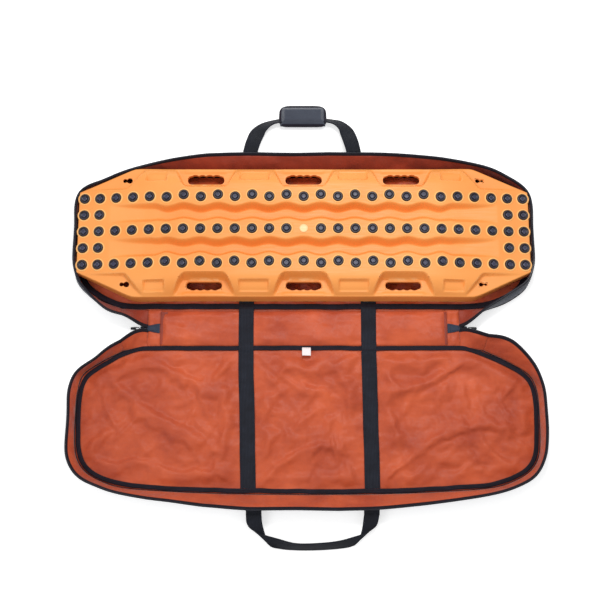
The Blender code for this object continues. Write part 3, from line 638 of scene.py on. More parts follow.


# Short name: material name, light and dark colour (0 to 255), roughness, height of the grain in
# metres and, where its raised edges are paler, the colour of that wear and painted highlight.
PLASTICS = {
    "board": ("board_plastic", (246, 160, 80), (238, 146, 64), 0.50, 0.00010, (255, 204, 144)),
    # The bosses are a paler copy of the board's plastic: painted highlight on the halo round each
    # stud.
    "boss": ("stud_boss_plastic", (255, 192, 116), (252, 178, 100), 0.40, 0.00010),
    "stud": ("stud_plastic", (32, 24, 36), (18, 13, 22), 0.36, 0.00012, (96, 88, 100)),
    "stud_centre": ("stud_centre_plastic", (60, 60, 84), (36, 36, 54),
                    0.40, 0.00008, (140, 140, 165)),
    "badge": ("badge_plastic", (246, 214, 158), (240, 200, 140), 0.45, 0.00008),
    "teeth": ("zip_teeth_plastic", (44, 44, 54), (26, 26, 34), 0.34, 0.00005),
    "pull": ("pull_tab_plastic", (44, 46, 54), (28, 29, 36), 0.42, 0.00010),
}
# Short name: material name, light and dark colour, roughness, sheen, threads in a metre and height
# of the weave. Some also have a height and strength of the creases, and a height of soft rumples.
FABRICS = {
    "shell": ("outer_fabric", (44, 50, 68), (24, 28, 42), 0.62, 0.12, 1300, 0.0004, 0.0002),
    "lining": ("lining_fabric", (212, 93, 49), (164, 58, 30),
               0.40, 0.25, 2600, 0.00008, 0.0005, 0.30, 0.028),
    # A darker copy of the lining: painted shade on the tray's back wall and on the spine pad's
    # hems.
    "painted_shade_lining": ("wall_lining_fabric", (164, 62, 38), (112, 35, 22),
                     0.46, 0.20, 2600, 0.00008, 0.0005, 0.35, 0.020),
    "grip": ("grip_wrap_fabric", (70, 76, 90), (50, 55, 68), 0.66, 0.35, 900, 0.0006, 0.0002),
    "tab": ("end_tab_fabric", (54, 66, 88), (36, 45, 63), 0.6, 0.1, 1000, 0.0004),
    "label": ("label_fabric", (250, 246, 246), (240, 232, 234), 0.6, 0.2, 1800, 0.0001),
}
WEBBINGS = {
    "binding": ("binding_tape", (40, 34, 52), (18, 14, 26)),
    "tape": ("zip_tape_fabric", (36, 35, 50), (16, 16, 27)),
    "webbing": ("webbing", (42, 48, 62), (22, 25, 35)),
    "handle": ("handle_webbing", (25, 30, 45), (11, 14, 23)),
    "thread": ("sewing_thread", (62, 66, 82), (36, 38, 52)),
    "lining_thread": ("lining_thread", (214, 104, 70), (170, 70, 46)),
}


def make_materials():
    """Every material by its short name."""
    made = {"metal": cast_metal("zip_metal", (0.22, 0.22, 0.25, 1.0), roughness=0.34)}
    makers = ((moulded_plastic, PLASTICS), (fabric, FABRICS), (webbing_material, WEBBINGS))
    for make, kinds in makers:
        for short, (name, light, dark, *rest) in kinds.items():
            made[short] = make(name, srgb(*light), srgb(*dark), *rest)
    return made


# ---- the moulded board ----

def ridge_height(x):
    """Height of the ridge tops, level in the middle and falling to the tips."""
    along = np.abs(x)
    slow_fall = 0.002 * np.minimum(along / 0.32, 1.0) ** 2
    return RIDGE_Z - slow_fall - (END_DROP - 0.002) * smoothstep((along - 0.300) / 0.275)


def half_width(x):
    """Distance from the middle line to the board's outline, its corners eased."""
    t = np.abs(x) - CHAMFER_START
    slope = (BOARD_HALF_WIDTH - END_HALF_WIDTH) / (BOARD_HALF_LENGTH - CHAMFER_START)
    eased = (t + np.sqrt(t * t + CHAMFER_ROUNDING ** 2)) / 2
    start = CHAMFER_ROUNDING / 2
    return BOARD_HALF_WIDTH - slope * (eased - start * np.exp(-np.abs(t) / 0.05))


BULGE_OUTER = 0.0085
BULGE_MIDDLE = 0.007


def bulges(x):
    """How far the channel walls swing round the studs: the outer and the middle ridge's share."""
    fade = 1 - smoothstep((np.abs(x) / STUD_PITCH - ZIGZAG_REACH))
    even = 0.5 + 0.5 * np.cos(math.pi * x / STUD_PITCH)
    return BULGE_OUTER * even * fade, BULGE_MIDDLE * (1 - even) * fade


def across_place(x, v):
    """The place across the board (y >= 0) of a lengthwise line that is named by v."""
    outer, middle = bulges(x)
    swing = smoothstep((v - 0.036) / 0.020)
    y = v - outer * swing * (1 - smoothstep((v - 0.076) / 0.018))
    y = y + middle * smoothstep((v - 0.004) / 0.012) * (1 - swing)
    share = (y - CHANNEL_EDGE) / (OUTER_LINE - CHANNEL_EDGE)
    tapered = CHANNEL_EDGE + (half_width(x) - CHANNEL_EDGE) * share
    return np.where(y > CHANNEL_EDGE, tapered, y)


CHANNEL_RAMP = 0.405
CHANNEL_END = 0.492
GRIP_CENTRES = (0.0, 0.250)
GRIP_HALF = 0.0465
GRIP_FLARE = 0.030
GRIP_WALL = 0.0150
GRIP_INNER_Y = 0.1105
GRIP_BAR_Y = 0.1615
INDENTS = ((0.125, 0.036), (0.375, 0.025))            # middle and half length of each
INDENT_INNER_Y = 0.1295
INDENT_OUTER_Y = 0.1545
KEYHOLE_PAD_X = 0.450
KEYHOLE_PAD_Y = 0.1095
BOSS_PAD_HALF = (0.027, 0.0125)
BOSS_PAD_RISE = 0.0007


def ease(t):
    """A ramp from 0 to 1 that is straight in its middle and only a little rounded at its ends."""
    return 0.6 * np.clip(t, 0, 1) + 0.4 * smoothstep(t)


def channel_height(x, v):
    """Ridges and channels across the board, each channel's floor rising to the flat end."""
    ridge = ridge_height(x)
    share = smoothstep((v - 0.018) / 0.016) * (1 - smoothstep((v - 0.058) / 0.014))
    wall = ridge - np.maximum(ridge - CHANNEL_Z, 0.0) * share
    climb = np.clip((np.abs(x) - CHANNEL_RAMP) / (CHANNEL_END - CHANNEL_RAMP), 0, 1)
    ramp = CHANNEL_Z + (ridge_height(CHANNEL_END) - CHANNEL_Z) * climb
    rounding = 0.0008
    higher = (wall + ramp + np.sqrt((wall - ramp) ** 2 + rounding ** 2)) / 2
    return np.minimum(ridge, higher)


def surface_height(x, v, y):
    """Height of the moulding on the line v, where that line runs at y."""
    along = np.abs(x)
    height = channel_height(x, v)
    fall = np.clip((v - SHOULDER_START) / SHOULDER_WIDTH, 0, 1) ** 1.9
    height = height - (height - EDGE_Z) * fall
    reach = np.clip((y - POCKET_EDGE) / 0.057, 0, 1)
    for centre, half in INDENTS:
        off = np.abs(along - centre)
        inside = (1 - ease((off - half + 0.002) / 0.0045)) * ease((y - INDENT_INNER_Y) / 0.0045)
        inside = inside * (1 - ease((y - INDENT_OUTER_Y) / 0.004))
        depth = INDENT_DEPTH * (1 - 0.55 * smoothstep((y - 0.132) / 0.024))
        height = height - depth * inside
    for centre in GRIP_CENTRES:
        off = np.abs(along - centre)
        half = GRIP_HALF + GRIP_FLARE * reach ** 0.7
        inside = 1 - ease((off - half + 0.003) / 0.0065)
        inside = inside * ease((y - GRIP_INNER_Y) / GRIP_WALL)
        bar = np.clip(1 - ((y - GRIP_BAR_Y) / 0.0065) ** 2, 0, 1)
        bar = bar * (1 - smoothstep((off - 0.046) / 0.012))
        pocket = POCKET_Z + (EDGE_Z - POCKET_Z) * smoothstep((y - 0.155) / 0.012)
        pocket = pocket + (GRIP_BAR_Z - EDGE_Z) * bar
        height = height + (pocket - height) * inside
    start = KEYHOLE_PAD_X - 0.046 * reach
    inside = ease((along - start + 0.003) / 0.006) * ease((y - KEYHOLE_PAD_Y) / 0.006)
    height = height + (KEYHOLE_PAD_Z - height) * inside
    beyond = [smoothstep((at - half) / 0.002) for at, half in zip((along, y), BOSS_PAD_HALF)]
    return height + BOSS_PAD_RISE * ((1 - beyond[0]) * (1 - beyond[1]))


# Lengthwise grid lines on one side of the board, named by where they lie across its middle, in
# millimetres; they stand closer where the surface bends.
ACROSS_LINES = np.array([
    0, 5, 10, 12.5, 14.5, 16, 18, 19.5, 21.5, 24, 26, 28, 30.5, 32.5, 34, 36, 41, 46, 51, 56,
    58, 59.5, 61.5, 63.5, 65, 66.5, 68.5, 70.5, 72, 74, 79, 86, 93, 100, 106, 109.5, 111, 112.3,
    113.7, 115.3, 117, 120, 123.5, 127, 130, 132, 134, 136.5, 139, 142, 145, 148, 151, 153.5,
    155.5, 157.5, 159.5, 161.5, 163.5, 165.8, OUTER_LINE * 1000,
]) / 1000
SCALLOPS = 4


def grip_outline(x, side):
    """A long grip hole with rounded ends and finger scallops along its outer edge."""
    half, radius = 0.0470, 0.0105
    low, high = 0.1275, 0.1510
    t = np.linspace(0, 1, 41)
    outer_x = -half + radius + t * (2 * half - 2 * radius)
    scallops = 0.0030 * np.abs(np.sin(math.pi * SCALLOPS * t)) ** 0.8
    outer = np.column_stack([outer_x, high + scallops])
    right = arc(half - radius, high - radius, radius, 80, 0, 4)
    low_right = arc(half - radius, low + radius, radius, 0, -90, 5)
    low_left = arc(-half + radius, low + radius, radius, -90, -180, 5)
    left = arc(-half + radius, high - radius, radius, 180, 100, 4)
    ring = np.vstack([outer, right, low_right, low_left, left])
    return ring * (1, side) + (x, 0)


def keyhole_outline(side, y):
    """A large round opening running into a narrow one nearer the tip."""
    big, small, apart = 0.0075, 0.0055, 0.012
    reach = math.degrees(math.acos((apart ** 2 + small ** 2 - big ** 2) / (2 * apart * small)))
    opening = math.degrees(math.acos((apart ** 2 + big ** 2 - small ** 2) / (2 * apart * big)))
    large = arc(0.0, 0.0, big, opening, 360 - opening, 16)
    narrow = arc(apart, 0.0, small, reach - 180, 180 - reach, 14)
    return np.vstack([large, narrow]) * (side, 1) + (side * KEYHOLE_X, y)


def board_holes():
    """Outlines of the grip holes and keyholes, from above."""
    holes = []
    for side in (1, -1):
        holes += [grip_outline(x, side) for x in (-0.250, 0.0, 0.250)]
        holes += [keyhole_outline(end, side * KEYHOLE_Y) for end in (1, -1)]
    return holes


def cut_holes(places, spacing):
    """Moves grid places near a hole's edge onto it, and marks the places inside holes."""
    inside = np.zeros(len(places), bool)
    for hole in board_holes():
        low, high = hole.min(axis=0) - 0.01, hole.max(axis=0) + 0.01
        near = np.where((places[:, :2] > low).all(axis=1) & (places[:, :2] < high).all(axis=1))[0]
        distance, nearest = polygon_distance(places[near, :2], hole)
        border = np.abs(distance) < 0.55 * spacing
        places[near[border], :2] = nearest[border]
        inside[near[~border & (distance < 0)]] = True
    return inside


COLUMNS_PER_STUD = 15
# The rounded edge over the skirt: how far out and how far down each ring lies.
SKIRT_ROWS = ((0.0009, 0.0004), (0.0018, 0.0016), (0.0024, 0.0034), (0.0026, 0.0060))
SKIRT_FLARE = 0.0010


def skirt_bottom(x):
    """Height of the skirt's lower edge."""
    return SKIRT_Z + (SKIRT_END_Z - SKIRT_Z) * smoothstep((np.abs(x) - 0.420) / 0.155)


def skirt_rings(edge):
    """Rings of places that turn the board's edge down and run on to the skirt's lower edge."""
    away = -outward(edge, closed=True)
    for _ in range(6):
        away = away + np.roll(away, 1, axis=0) + np.roll(away, -1, axis=0)
        away = away / np.linalg.norm(away, axis=1)[:, None]
    rings = []
    for out, drop in SKIRT_ROWS:
        rings.append(np.column_stack([edge[:, :2] + away * out, edge[:, 2] - drop]))
    top, bottom = rings[-1][:, 2], skirt_bottom(edge[:, 0])
    for share in (0.25, 0.5, 0.75, 1.0):
        flare = SKIRT_ROWS[-1][0] + SKIRT_FLARE * share
        rings.append(np.column_stack([edge[:, :2] + away * flare, top + (bottom - top) * share]))
    return rings


def board_shell(material):
    """The moulded board: one skin with rounded edges and skirt, holes cut through, open below."""
    columns = 2 * STUDS_EACH_WAY * COLUMNS_PER_STUD + 1
    xs = np.linspace(-BOARD_HALF_LENGTH, BOARD_HALF_LENGTH, columns)
    lines = np.concatenate([-ACROSS_LINES[:0:-1], ACROSS_LINES])
    x, v = np.meshgrid(xs, lines)
    y = across_place(x, np.abs(v))
    z = surface_height(x, np.abs(v), y)
    rows = len(lines)
    places = np.stack([x, np.sign(v) * y, z], axis=-1).reshape(-1, 3)
    faces = grid_faces(rows, columns)
    inside = cut_holes(places, xs[1] - xs[0])
    faces = faces[~inside[faces].any(axis=1)]
    index = np.arange(rows * columns).reshape(rows, columns)
    rim = np.concatenate([index[0, :-1], index[:-1, -1], index[-1, :0:-1], index[:0:-1, 0]])
    skirt = skirt_rings(places[rim])
    first, count = len(places), len(rim)
    rings = [rim] + [first + k * count + np.arange(count) for k in range(len(skirt))]
    sides = []
    for upper, lower in zip(rings, rings[1:]):
        sides.append(np.column_stack([upper, lower, np.roll(lower, -1), np.roll(upper, -1)]))
    places, faces = np.vstack([places, *skirt]), np.vstack([faces, *sides])
    board = add_used("board_moulding", places, faces, material)
    recalculate_normals(board)
    if board.data.polygons[len(board.data.polygons) // 3].normal.z < 0:
        board.data.flip_normals()
    thicken(board, SHELL_THICKNESS, offset=-1)
    sharpen(board, degrees=48)
    attach(board, "board", "board_shell")
    hole_collars(material)


def hole_collars(material):
    """Short walls that run down from the edges of the grip holes and keyholes."""
    for k, hole in enumerate(board_holes()):
        is_grip = np.ptp(hole[:, 0]) > 0.05
        depth = 0.013 if is_grip else 0.006
        top = (POCKET_Z if is_grip else KEYHOLE_PAD_Z) - 0.0008
        loop = smoothed_loop(hole, spacing=0.0016, rounds=1)
        away = outward(loop, closed=True)
        centres = np.column_stack([loop + away * 0.0011, np.full(len(loop), top - depth / 2)])
        profile = rounded_profile(0.0020, depth, 0.0006, 2)
        side, up = level_frame(away)
        collar = sweep(f"hole_collar_{k}", centres, side, up, profile, material, closed=True)
        attach(collar, "board")


# ---- studs ----

STUD_PROFILE = [
    (0.0126, -0.0010), (0.0126, 0.0022), (0.0122, 0.0034), (0.0112, 0.0046), (0.0104, 0.0050),
    (0.0090, 0.0050), (0.0082, 0.0044), (0.0079, 0.0030), (0.0074, 0.0026), (0.0, 0.0026),
]
STUD_CORE_PROFILE = [
    (0.0062, 0.0024), (0.0062, 0.0036), (0.0056, 0.0041), (0.0034, 0.0041), (0.0030, 0.0035),
    (0.0030, 0.0029), (0.0, 0.0029),
]
BOSS_PROFILE = [
    (0.0176, -0.0014), (0.0168, 0.0004), (0.0158, 0.0017), (0.0148, 0.0022), (0.0137, 0.0020),
    (0.0128, 0.0010), (0.0126, -0.0014),
]


def stud_matrix(x, y):
    """A stud's place on its ridge, square to the ridge's slope."""
    step = 0.001
    slope = (ridge_height(x + step) - ridge_height(x - step)) / (2 * step)
    up = np.array([-slope, 0.0, 1.0])
    up = up / np.linalg.norm(up)
    return placement((x, y, float(ridge_height(x))), np.cross((0, 1, 0), up), up)


def stud_x(k):
    """A stud's place along the board; the last two stand a little closer together."""
    closer = 0.0012 * (abs(k) >= STUDS_EACH_WAY - 1) + 0.0040 * (abs(k) >= STUDS_EACH_WAY)
    return math.copysign(abs(k) * STUD_PITCH - closer, k)


def stud_row_places(side, first, last):
    """Where the studs of one row stand."""
    places = []
    for k in range(first, last + 1):
        shift = 0.0
        if abs(k) <= ZIGZAG_REACH:
            shift = -STUD_ZIGZAG if k % 2 == 0 else STUD_ZIGZAG
        places.append((stud_x(k), side * (STUD_ROW_Y + shift) if side else 0.0))
    return places


def stud_groups():
    """Each CAD node of studs with the places of its studs."""
    last = STUDS_EACH_WAY
    groups = {}
    for side, word in ((1, "back"), (-1, "front")):
        places = stud_row_places(side, -last, last)
        ends = [stud_x(end * k) for end in (-1, 1) for k in (last - 1, last)]
        groups[word] = places + [(x, side * STUD_ROW_Y / 2) for x in ends]
    groups["middle_left"] = stud_row_places(0, -last, -1)
    groups["middle_right"] = stud_row_places(0, 1, last)
    return groups


def cross_core(sides):
    """The driver recess in a stud's middle: a low ring whose rim has four notches."""
    verts, faces = lathe(STUD_CORE_PROFILE, sides)
    verts = np.array(verts)
    angle = np.arctan2(verts[:, 1], verts[:, 0])
    notch = np.cos(2 * angle) ** 2
    radius = np.linalg.norm(verts[:, :2], axis=1)
    scale = np.where(radius > 0.0045, 0.80 + 0.20 * notch, 1.0)
    verts[:, :2] *= scale[:, None]
    return verts, faces


def studs(materials):
    """The screwed-in studs, the recesses in their middles and the moulded bosses under them."""
    shapes = (
        ("studs", lathe(STUD_PROFILE, sides=28), "stud", "stud_plastic"),
        ("stud_recesses", cross_core(sides=24), "stud_centre", "stud_plastic"),
        ("stud_bosses", lathe(BOSS_PROFILE, sides=32), "boss", "board_plastic"),
    )
    for word, places in stud_groups().items():
        matrices = [stud_matrix(x, y) for x, y in places]
        for name, (verts, faces), material, slot in shapes:
            obj = copies(f"{name}_{word}", verts, faces, matrices, materials[material])
            if slot == "stud_plastic":
                sharpen(obj, degrees=42)
            attach(obj, "board", f"stud_row_{word}" if name == "studs" else None)


BADGE_PROFILE = [
    (0.0108, -0.0010), (0.0108, 0.0012), (0.0102, 0.0020), (0.0094, 0.0022), (0.0088, 0.0018),
    (0.0084, 0.0016), (0.0050, 0.0020), (0.0, 0.0021),
]


def centre_badge(material):
    """The plain round boss in the middle of the board."""
    verts, faces = lathe(BADGE_PROFILE, sides=40)
    matrix = np.eye(4)
    matrix[:3, 3] = (0, 0, RIDGE_Z + BOSS_PAD_RISE)
    badge = copies("centre_boss", verts, faces, [matrix], material)
    sharpen(badge, degrees=40)
    attach(badge, "board", "centre_badge")


# ---- the bag's walls ----

SIDES = (("left", -1), ("right", 1))
STATION_SPACING = 0.006
CORNER_STATIONS = 22
WALL_ROWS = 12
WALL_FOOT_Z = 0.0054
TAPE_LOW_Z = RIM_Z - 0.0071
LOWEST_CLOTH_Z = 0.0016
SHELL_GAP = 0.0030               # from the middle of the lining to the outer fabric
OUTER_BOW = 0.0030
LINING_CLOTH = 0.0007
OUTER_CLOTH = 0.0012
# Seeds of the creases in a wall's lining and outer fabric, and the lining's material; the tray's
# darker one is painted shade.
WALL_LOOKS = {"tray": (4, 14, "painted_shade_lining"), "lid": (11, 21, "lining")}
PUSH_SPREAD = 31                 # stations that share a push away from the board
PUSH_ROUNDS = 6


def lid_place(places):
    """Flat places mirrored from the tray's side to the lid's, and slid along with the lid."""
    places = places * (1, -1) + (0, 2 * SPINE_MID_Y)
    away = smoothstep((LID_FOLD_Y - places[..., 1]) / 0.12)
    return places + np.stack([LID_SHIFT * away, np.zeros_like(away)], axis=-1)


def mirror_to_lid(places):
    """Mirrors places about the middle of the spine, from the tray's side to the lid's."""
    flat = lid_place(places[..., :2])
    return np.concatenate([flat, places[..., 2:]], axis=-1)


def mirrored(places, *directions):
    """Places on the tray's side moved to the lid's, and the directions at them."""
    return (mirror_to_lid(places), *(d * (1, -1, 1) for d in directions))


def corner_line(rim_end, seam_end):
    """Foot and rim of the right wall beside the spine, twisting flat towards the zip's end."""
    t = np.linspace(0, 1, CORNER_STATIONS + 1)[1:]
    w = 0.75 * t + 0.25 * t * t
    foot_x = seam_end[0] + (NOTCH_X - seam_end[0]) * t
    rim_x = WALL_END_X + (NOTCH_X - WALL_END_X) * t
    foot_y = seam_end[1] + (TRAY_FOLD_Y - seam_end[1]) * w
    lean = (seam_end[1] - rim_end[1]) * (1 - w)
    angle = w * math.pi / 2
    height = TAPE_LOW_Z - WALL_FOOT_Z
    feet = np.column_stack([foot_x, foot_y, np.full_like(t, WALL_FOOT_Z)])
    rim_y = foot_y - height * np.sin(angle) - lean
    rims = np.column_stack([rim_x, rim_y, WALL_FOOT_Z + height * np.cos(angle)])
    return feet, rims


def clear_of_board(points, gap):
    """Moves places that are too near the board's outline out to the gap, in a smooth line."""
    xs = np.linspace(-BOARD_HALF_LENGTH, BOARD_HALF_LENGTH, 161)
    edge = np.column_stack([xs, half_width(xs)])
    outline = np.vstack([edge, (edge * (1, -1))[::-1]])
    kernel = np.hanning(PUSH_SPREAD)
    kernel = kernel / kernel.sum()
    for _ in range(PUSH_ROUNDS):
        distance, nearest = polygon_distance(points, outline)
        away = (points - nearest) * np.sign(distance)[:, None]
        away = away / np.maximum(np.linalg.norm(away, axis=1), 1e-6)[:, None]
        push = away * np.maximum(gap - distance, 0)[:, None]
        points = points + np.column_stack([np.convolve(c, kernel, "same") for c in push.T])
    return points


def wall_lines(half):
    """Foot and rim of one half's wall, from the left end of the zip round to the right end."""
    rim, seam = (both_sides(catmull_rom(points[half], steps=16)) for points in (RIM, SEAM))
    at = lengths((rim + seam) / 2)
    wanted = np.linspace(0, at[-1], int(at[-1] / STATION_SPACING))

    def stations(line, z):
        flat = [np.interp(wanted, at, column) for column in line.T]
        return np.column_stack([*flat, np.full_like(wanted, z)])

    feet, rims = corner_line(RIM[half][-1], SEAM[half][-1])
    flip = np.array([-1, 1, 1])
    foot = np.vstack([feet[::-1] * flip, stations(seam, WALL_FOOT_Z), feet])
    top = np.vstack([rims[::-1] * flip, stations(rim, TAPE_LOW_Z), rims])
    for centre, reach, shift in TUCKS[half]:
        near = np.exp(-(np.linalg.norm(top[:, :2] - centre, axis=1) / reach) ** 2)
        top[:, :2] += near[:, None] * np.array(shift)
    moved = (LID_SHIFT if half == "lid" else 0.0, 0.0)
    top[:, :2] = clear_of_board(top[:, :2] + moved, BOARD_GAP[half]) - moved
    sag = 0.10 * np.abs(ripple(foot[:, :2], size=0.11, seed=2))
    upright = (top[:, 2] - WALL_FOOT_Z) / (TAPE_LOW_Z - WALL_FOOT_Z)
    top[:, :2] -= (top[:, :2] - foot[:, :2]) * (sag * upright)[:, None]
    return foot, top


def wall_grid(foot, top, bow, crease, seed):
    """Places of a wall's cloth, rows from foot to rim, bowed outwards and creased."""
    f = np.linspace(0, 1, WALL_ROWS)[:, None, None]
    flat = foot[None] * (1 - f) + top[None] * f
    normal = wall_normals(foot, top)
    belly = np.sin(math.pi * f[:, :, 0]) ** 0.8
    run = lengths(foot)
    creases = np.zeros(flat.shape[:2])
    for row in range(WALL_ROWS):
        drift = run + 0.020 * row / WALL_ROWS
        samples = np.column_stack([drift, np.full_like(run, 0.012 * row / WALL_ROWS), run * 0])
        fine = ripple(samples, size=0.020, seed=seed)
        broad = ripple(samples, size=0.060, seed=seed + 1)
        creases[row] = 0.6 * fine + 1.0 * broad - 0.7 * np.abs(fine)
    shift = bow * belly + crease * creases * belly
    return flat + normal[None] * shift[:, :, None]


def wall_normals(foot, top):
    """Directions out of the bag, square to the wall, at each station."""
    along = tangents((foot + top) / 2)
    rise = top - foot
    normal = np.cross(rise, along)
    return normal / np.linalg.norm(normal, axis=1)[:, None]


def bag_corner_blend(obj):
    """Bakes the placement of a length of wall beside the spine into its mesh, without binding it.
    """
    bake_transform(obj)


def bind_wall_part(obj, half, word, node=None):
    """Binds the main length of wall to its half; a corner only has its placement baked."""
    if word:
        bag_corner_blend(obj)
    else:
        attach(obj, half, node)


def thirds(count):
    """The station ranges of the left corner, the main wall and the right corner."""
    left, right = CORNER_STATIONS, count - CORNER_STATIONS
    ranges = (slice(0, left + 1), slice(left, right), slice(right - 1, count))
    return tuple(zip(("left", "", "right"), ranges))


def wall_layer(half, name, grid, material, thickness, node):
    """One layer of a wall as sheets with thickness; the main length is bound to its body and hides
    its CAD node.
    """
    for word, part in thirds(grid.shape[1]):
        places = grid[:, part]
        if half == "lid":
            places = mirror_to_lid(places)
        obj = sheet(f"{half}_{name}_{word}".rstrip("_"), places, material, thickness)
        bind_wall_part(obj, half, word, f"{half}_{node}")


def zip_edge(half, foot, top, materials):
    """The zip tape round the rim and the half row of teeth along its edge."""
    rise = top - foot
    rise = rise / np.linalg.norm(rise, axis=1)[:, None]
    normal = wall_normals(foot, top)
    half_tape = (RIM_Z - TAPE_LOW_Z) / 2
    centre = top + rise * (half_tape - 0.0007) + normal * 0.0014
    profile = rounded_profile(0.0060, 2 * half_tape + 0.0016, 0.0016, 2)
    if half == "lid":
        centre, rise, normal = mirrored(centre, rise, normal)
    tooth_line = centre + rise * (half_tape + 0.0002) - normal * 0.0002
    for word, part in thirds(len(foot)):
        name = f"{half}_zip_tape_{word}".rstrip("_")
        tape = sweep(name, centre[part], normal[part], rise[part], profile, materials["tape"])
        teeth = zip_teeth(half, word, tooth_line[part], rise[part], materials["teeth"])
        bind_wall_part(tape, half, word, f"{half}_zip_tape")
        bind_wall_part(teeth, half, word)


TOOTH_PITCH = 0.0030
TOOTH = (0.0017, 0.0026, 0.0020)


def zip_teeth(half, word, line, rise, material):
    """Moulded zip teeth, each a block with a narrower head."""
    count = max(int(lengths(line)[-1] / TOOTH_PITCH), 2)
    places = resample(line, count)
    ups = resample(rise, count)
    x, y, z = (s / 2 for s in TOOTH)
    corners = ((-1, -1), (1, -1), (1, 1), (-1, 1))
    verts = []
    for height, scale in ((-z, 1.0), (z * 0.1, 1.0), (z * 0.5, 0.62), (z, 0.80)):
        verts += [(sx * x * scale, sy * y, height) for sx, sy in corners]
    matrices = [placement(o, d, u) for o, d, u in zip(places, tangents(places), ups)]
    name = f"{half}_zip_teeth_{word}".rstrip("_")
    return copies(name, verts, BEAD_FACES, matrices, material, smooth=False)


# ---- the bag's floors ----

FLOOR_SPACING = 0.0075
FOLD_INSET = 0.0004
LINING_SEEDS = {"tray": 3, "lid": 8}
# Width of each seam binding, and how far it stays from the fold. The tray's is widened towards
# the board, so that its dark tape also paints the board's shadow there.
BINDING_SIZES = {"tray": (0.0145, 0.0082), "lid": (0.0115, 0.0025)}
LABEL_PLACE = (0.007, LID_FOLD_Y - 0.012)
STRAPS_X = {"left": -0.145, "right": 0.164}
STRAP_DRIFT = {"left": 0.009, "right": 0.004}
FOLD_DIRECTIONS = (
    # angle in degrees, length and width of the folds in metres, share of the height
    (-36, 0.46, 0.110, 0.70), (31, 0.40, 0.100, 0.55), (74, 0.30, 0.080, 0.30),
    (-6, 0.44, 0.095, 0.30), (52, 0.16, 0.036, 0.30), (-60, 0.15, 0.032, 0.28),
)
LID_FOLDS = (
    # the large folds of the lid's lining: places along each one, half width, share of the height
    (((-0.500, -0.360), (-0.440, -0.415), (-0.370, -0.470), (-0.235, -0.535)), 0.030, 1.30),
    (((-0.400, -0.315), (-0.340, -0.345), (-0.250, -0.385), (-0.165, -0.405)), 0.022, 0.90),
    (((0.425, -0.300), (0.360, -0.350), (0.290, -0.390), (0.205, -0.405)), 0.018, 1.00),
    (((0.545, -0.350), (0.520, -0.385), (0.490, -0.430)), 0.016, 0.80),
    (((0.540, -0.500), (0.430, -0.490), (0.330, -0.520), (0.230, -0.590)), 0.026, 0.90),
    (((-0.100, -0.420), (0.000, -0.390), (0.110, -0.440)), 0.026, 0.60),
    (((-0.110, -0.640), (-0.020, -0.560), (0.100, -0.530)), 0.026, 0.70),
    (((-0.520, -0.600), (-0.400, -0.585), (-0.260, -0.640)), 0.024, 0.70),
)


def floor_outline(half, inset, fold_gap=FOLD_INSET):
    """A closed outline inside the seam, straight along the fold; the lid's isn't mirrored yet."""
    curve = both_sides(catmull_rom(SEAM[half], steps=8))
    curve = curve - outward(curve) * inset
    fold = TRAY_FOLD_Y + fold_gap
    curve[:, 1] = np.maximum(curve[:, 1], fold)
    end = abs(curve[-1, 0]) - 0.040
    return np.vstack([curve, [(end, fold), (-end, fold)]])


def long_fold(flat, path, half_width):
    """A rounded fold along a path, steeper on one side and running out at both ends."""
    curve = catmull_rom(path, steps=6)
    at = lengths(curve)
    best = np.full(len(flat), np.inf)
    height = np.zeros(len(flat))
    for k, (p, q) in enumerate(zip(curve, curve[1:])):
        d = q - p
        t = np.clip(((flat - p) @ d) / (d @ d), 0, 1)
        off = flat - p - t[:, None] * d
        distance = np.linalg.norm(off, axis=1)
        side = np.sign(d[0] * off[:, 1] - d[1] * off[:, 0])
        width = half_width * np.where(side > 0, 0.7, 1.5)
        share = (at[k] + t * (at[k + 1] - at[k])) / at[-1]
        running_out = np.sin(math.pi * np.clip(0.06 + 0.88 * share, 0, 1)) ** 0.7
        fold = (1 - smoothstep(distance / width)) * running_out
        closer = distance < best
        best[closer] = distance[closer]
        height[closer] = fold[closer]
    return height


def fold_field(flat, seed, folds=()):
    """Soft creases in several directions, between 0 and about 1, and the given large folds."""
    total = np.zeros(len(flat))
    for path, half_width, share in folds:
        total += share * long_fold(flat, path, half_width)
    for k, (degrees, length, width, share) in enumerate(FOLD_DIRECTIONS):
        a = math.radians(degrees)
        along = flat[:, 0] * math.cos(a) + flat[:, 1] * math.sin(a)
        across = -flat[:, 0] * math.sin(a) + flat[:, 1] * math.cos(a)
        across = across + 0.018 * np.sin(along / 0.07 + k)
        samples = np.column_stack([along / length, across / width, np.full(len(flat), 3.7 * k)])
        value = ripple(samples, 1.0, seed + k)
        total += share * np.clip(1 - np.abs(value) * 2.2, 0, 1) ** 1.4
    return total


FOLD_HEIGHT = 0.0150
LINING_LIMIT = 0.0154           # the studs come this near in the closed bag
LIMIT_EASE = 0.0022
HELD_EDGE = 0.011
SETTLE_FRAMES = 34
CLOTH_SETTINGS = {
    "quality": 6,
    "mass": 0.10,
    "air_damping": 2.0,
    "tension_stiffness": 18,
    "compression_stiffness": 18,
    "shear_stiffness": 6,
    "bending_stiffness": 5.0,
    "tension_damping": 8,
    "bending_damping": 1.0,
    "vertex_group_mass": "sewn",
    "shrink_min": -0.014,        # spare cloth, which lets the lining crease
}


def held_share(flat, depth):
    """0 where the lining is sewn down, at its border, straps and label, rising to 1 between."""
    free = smoothstep((depth - HELD_EDGE) / 0.030) * between_straps(flat[:, 0], 0.035)
    label = np.linalg.norm(flat - LABEL_PLACE, axis=1)
    return free * smoothstep((label - 0.018) / 0.03)


def between_straps(x, ease_width):
    """0 under the straps, rising to 1 over a distance beside them."""
    free = np.ones(len(x))
    for strap_x in STRAPS_X.values():
        free = free * smoothstep((np.abs(x - strap_x) - WEBBING_WIDTH / 2) / ease_width)
    return free


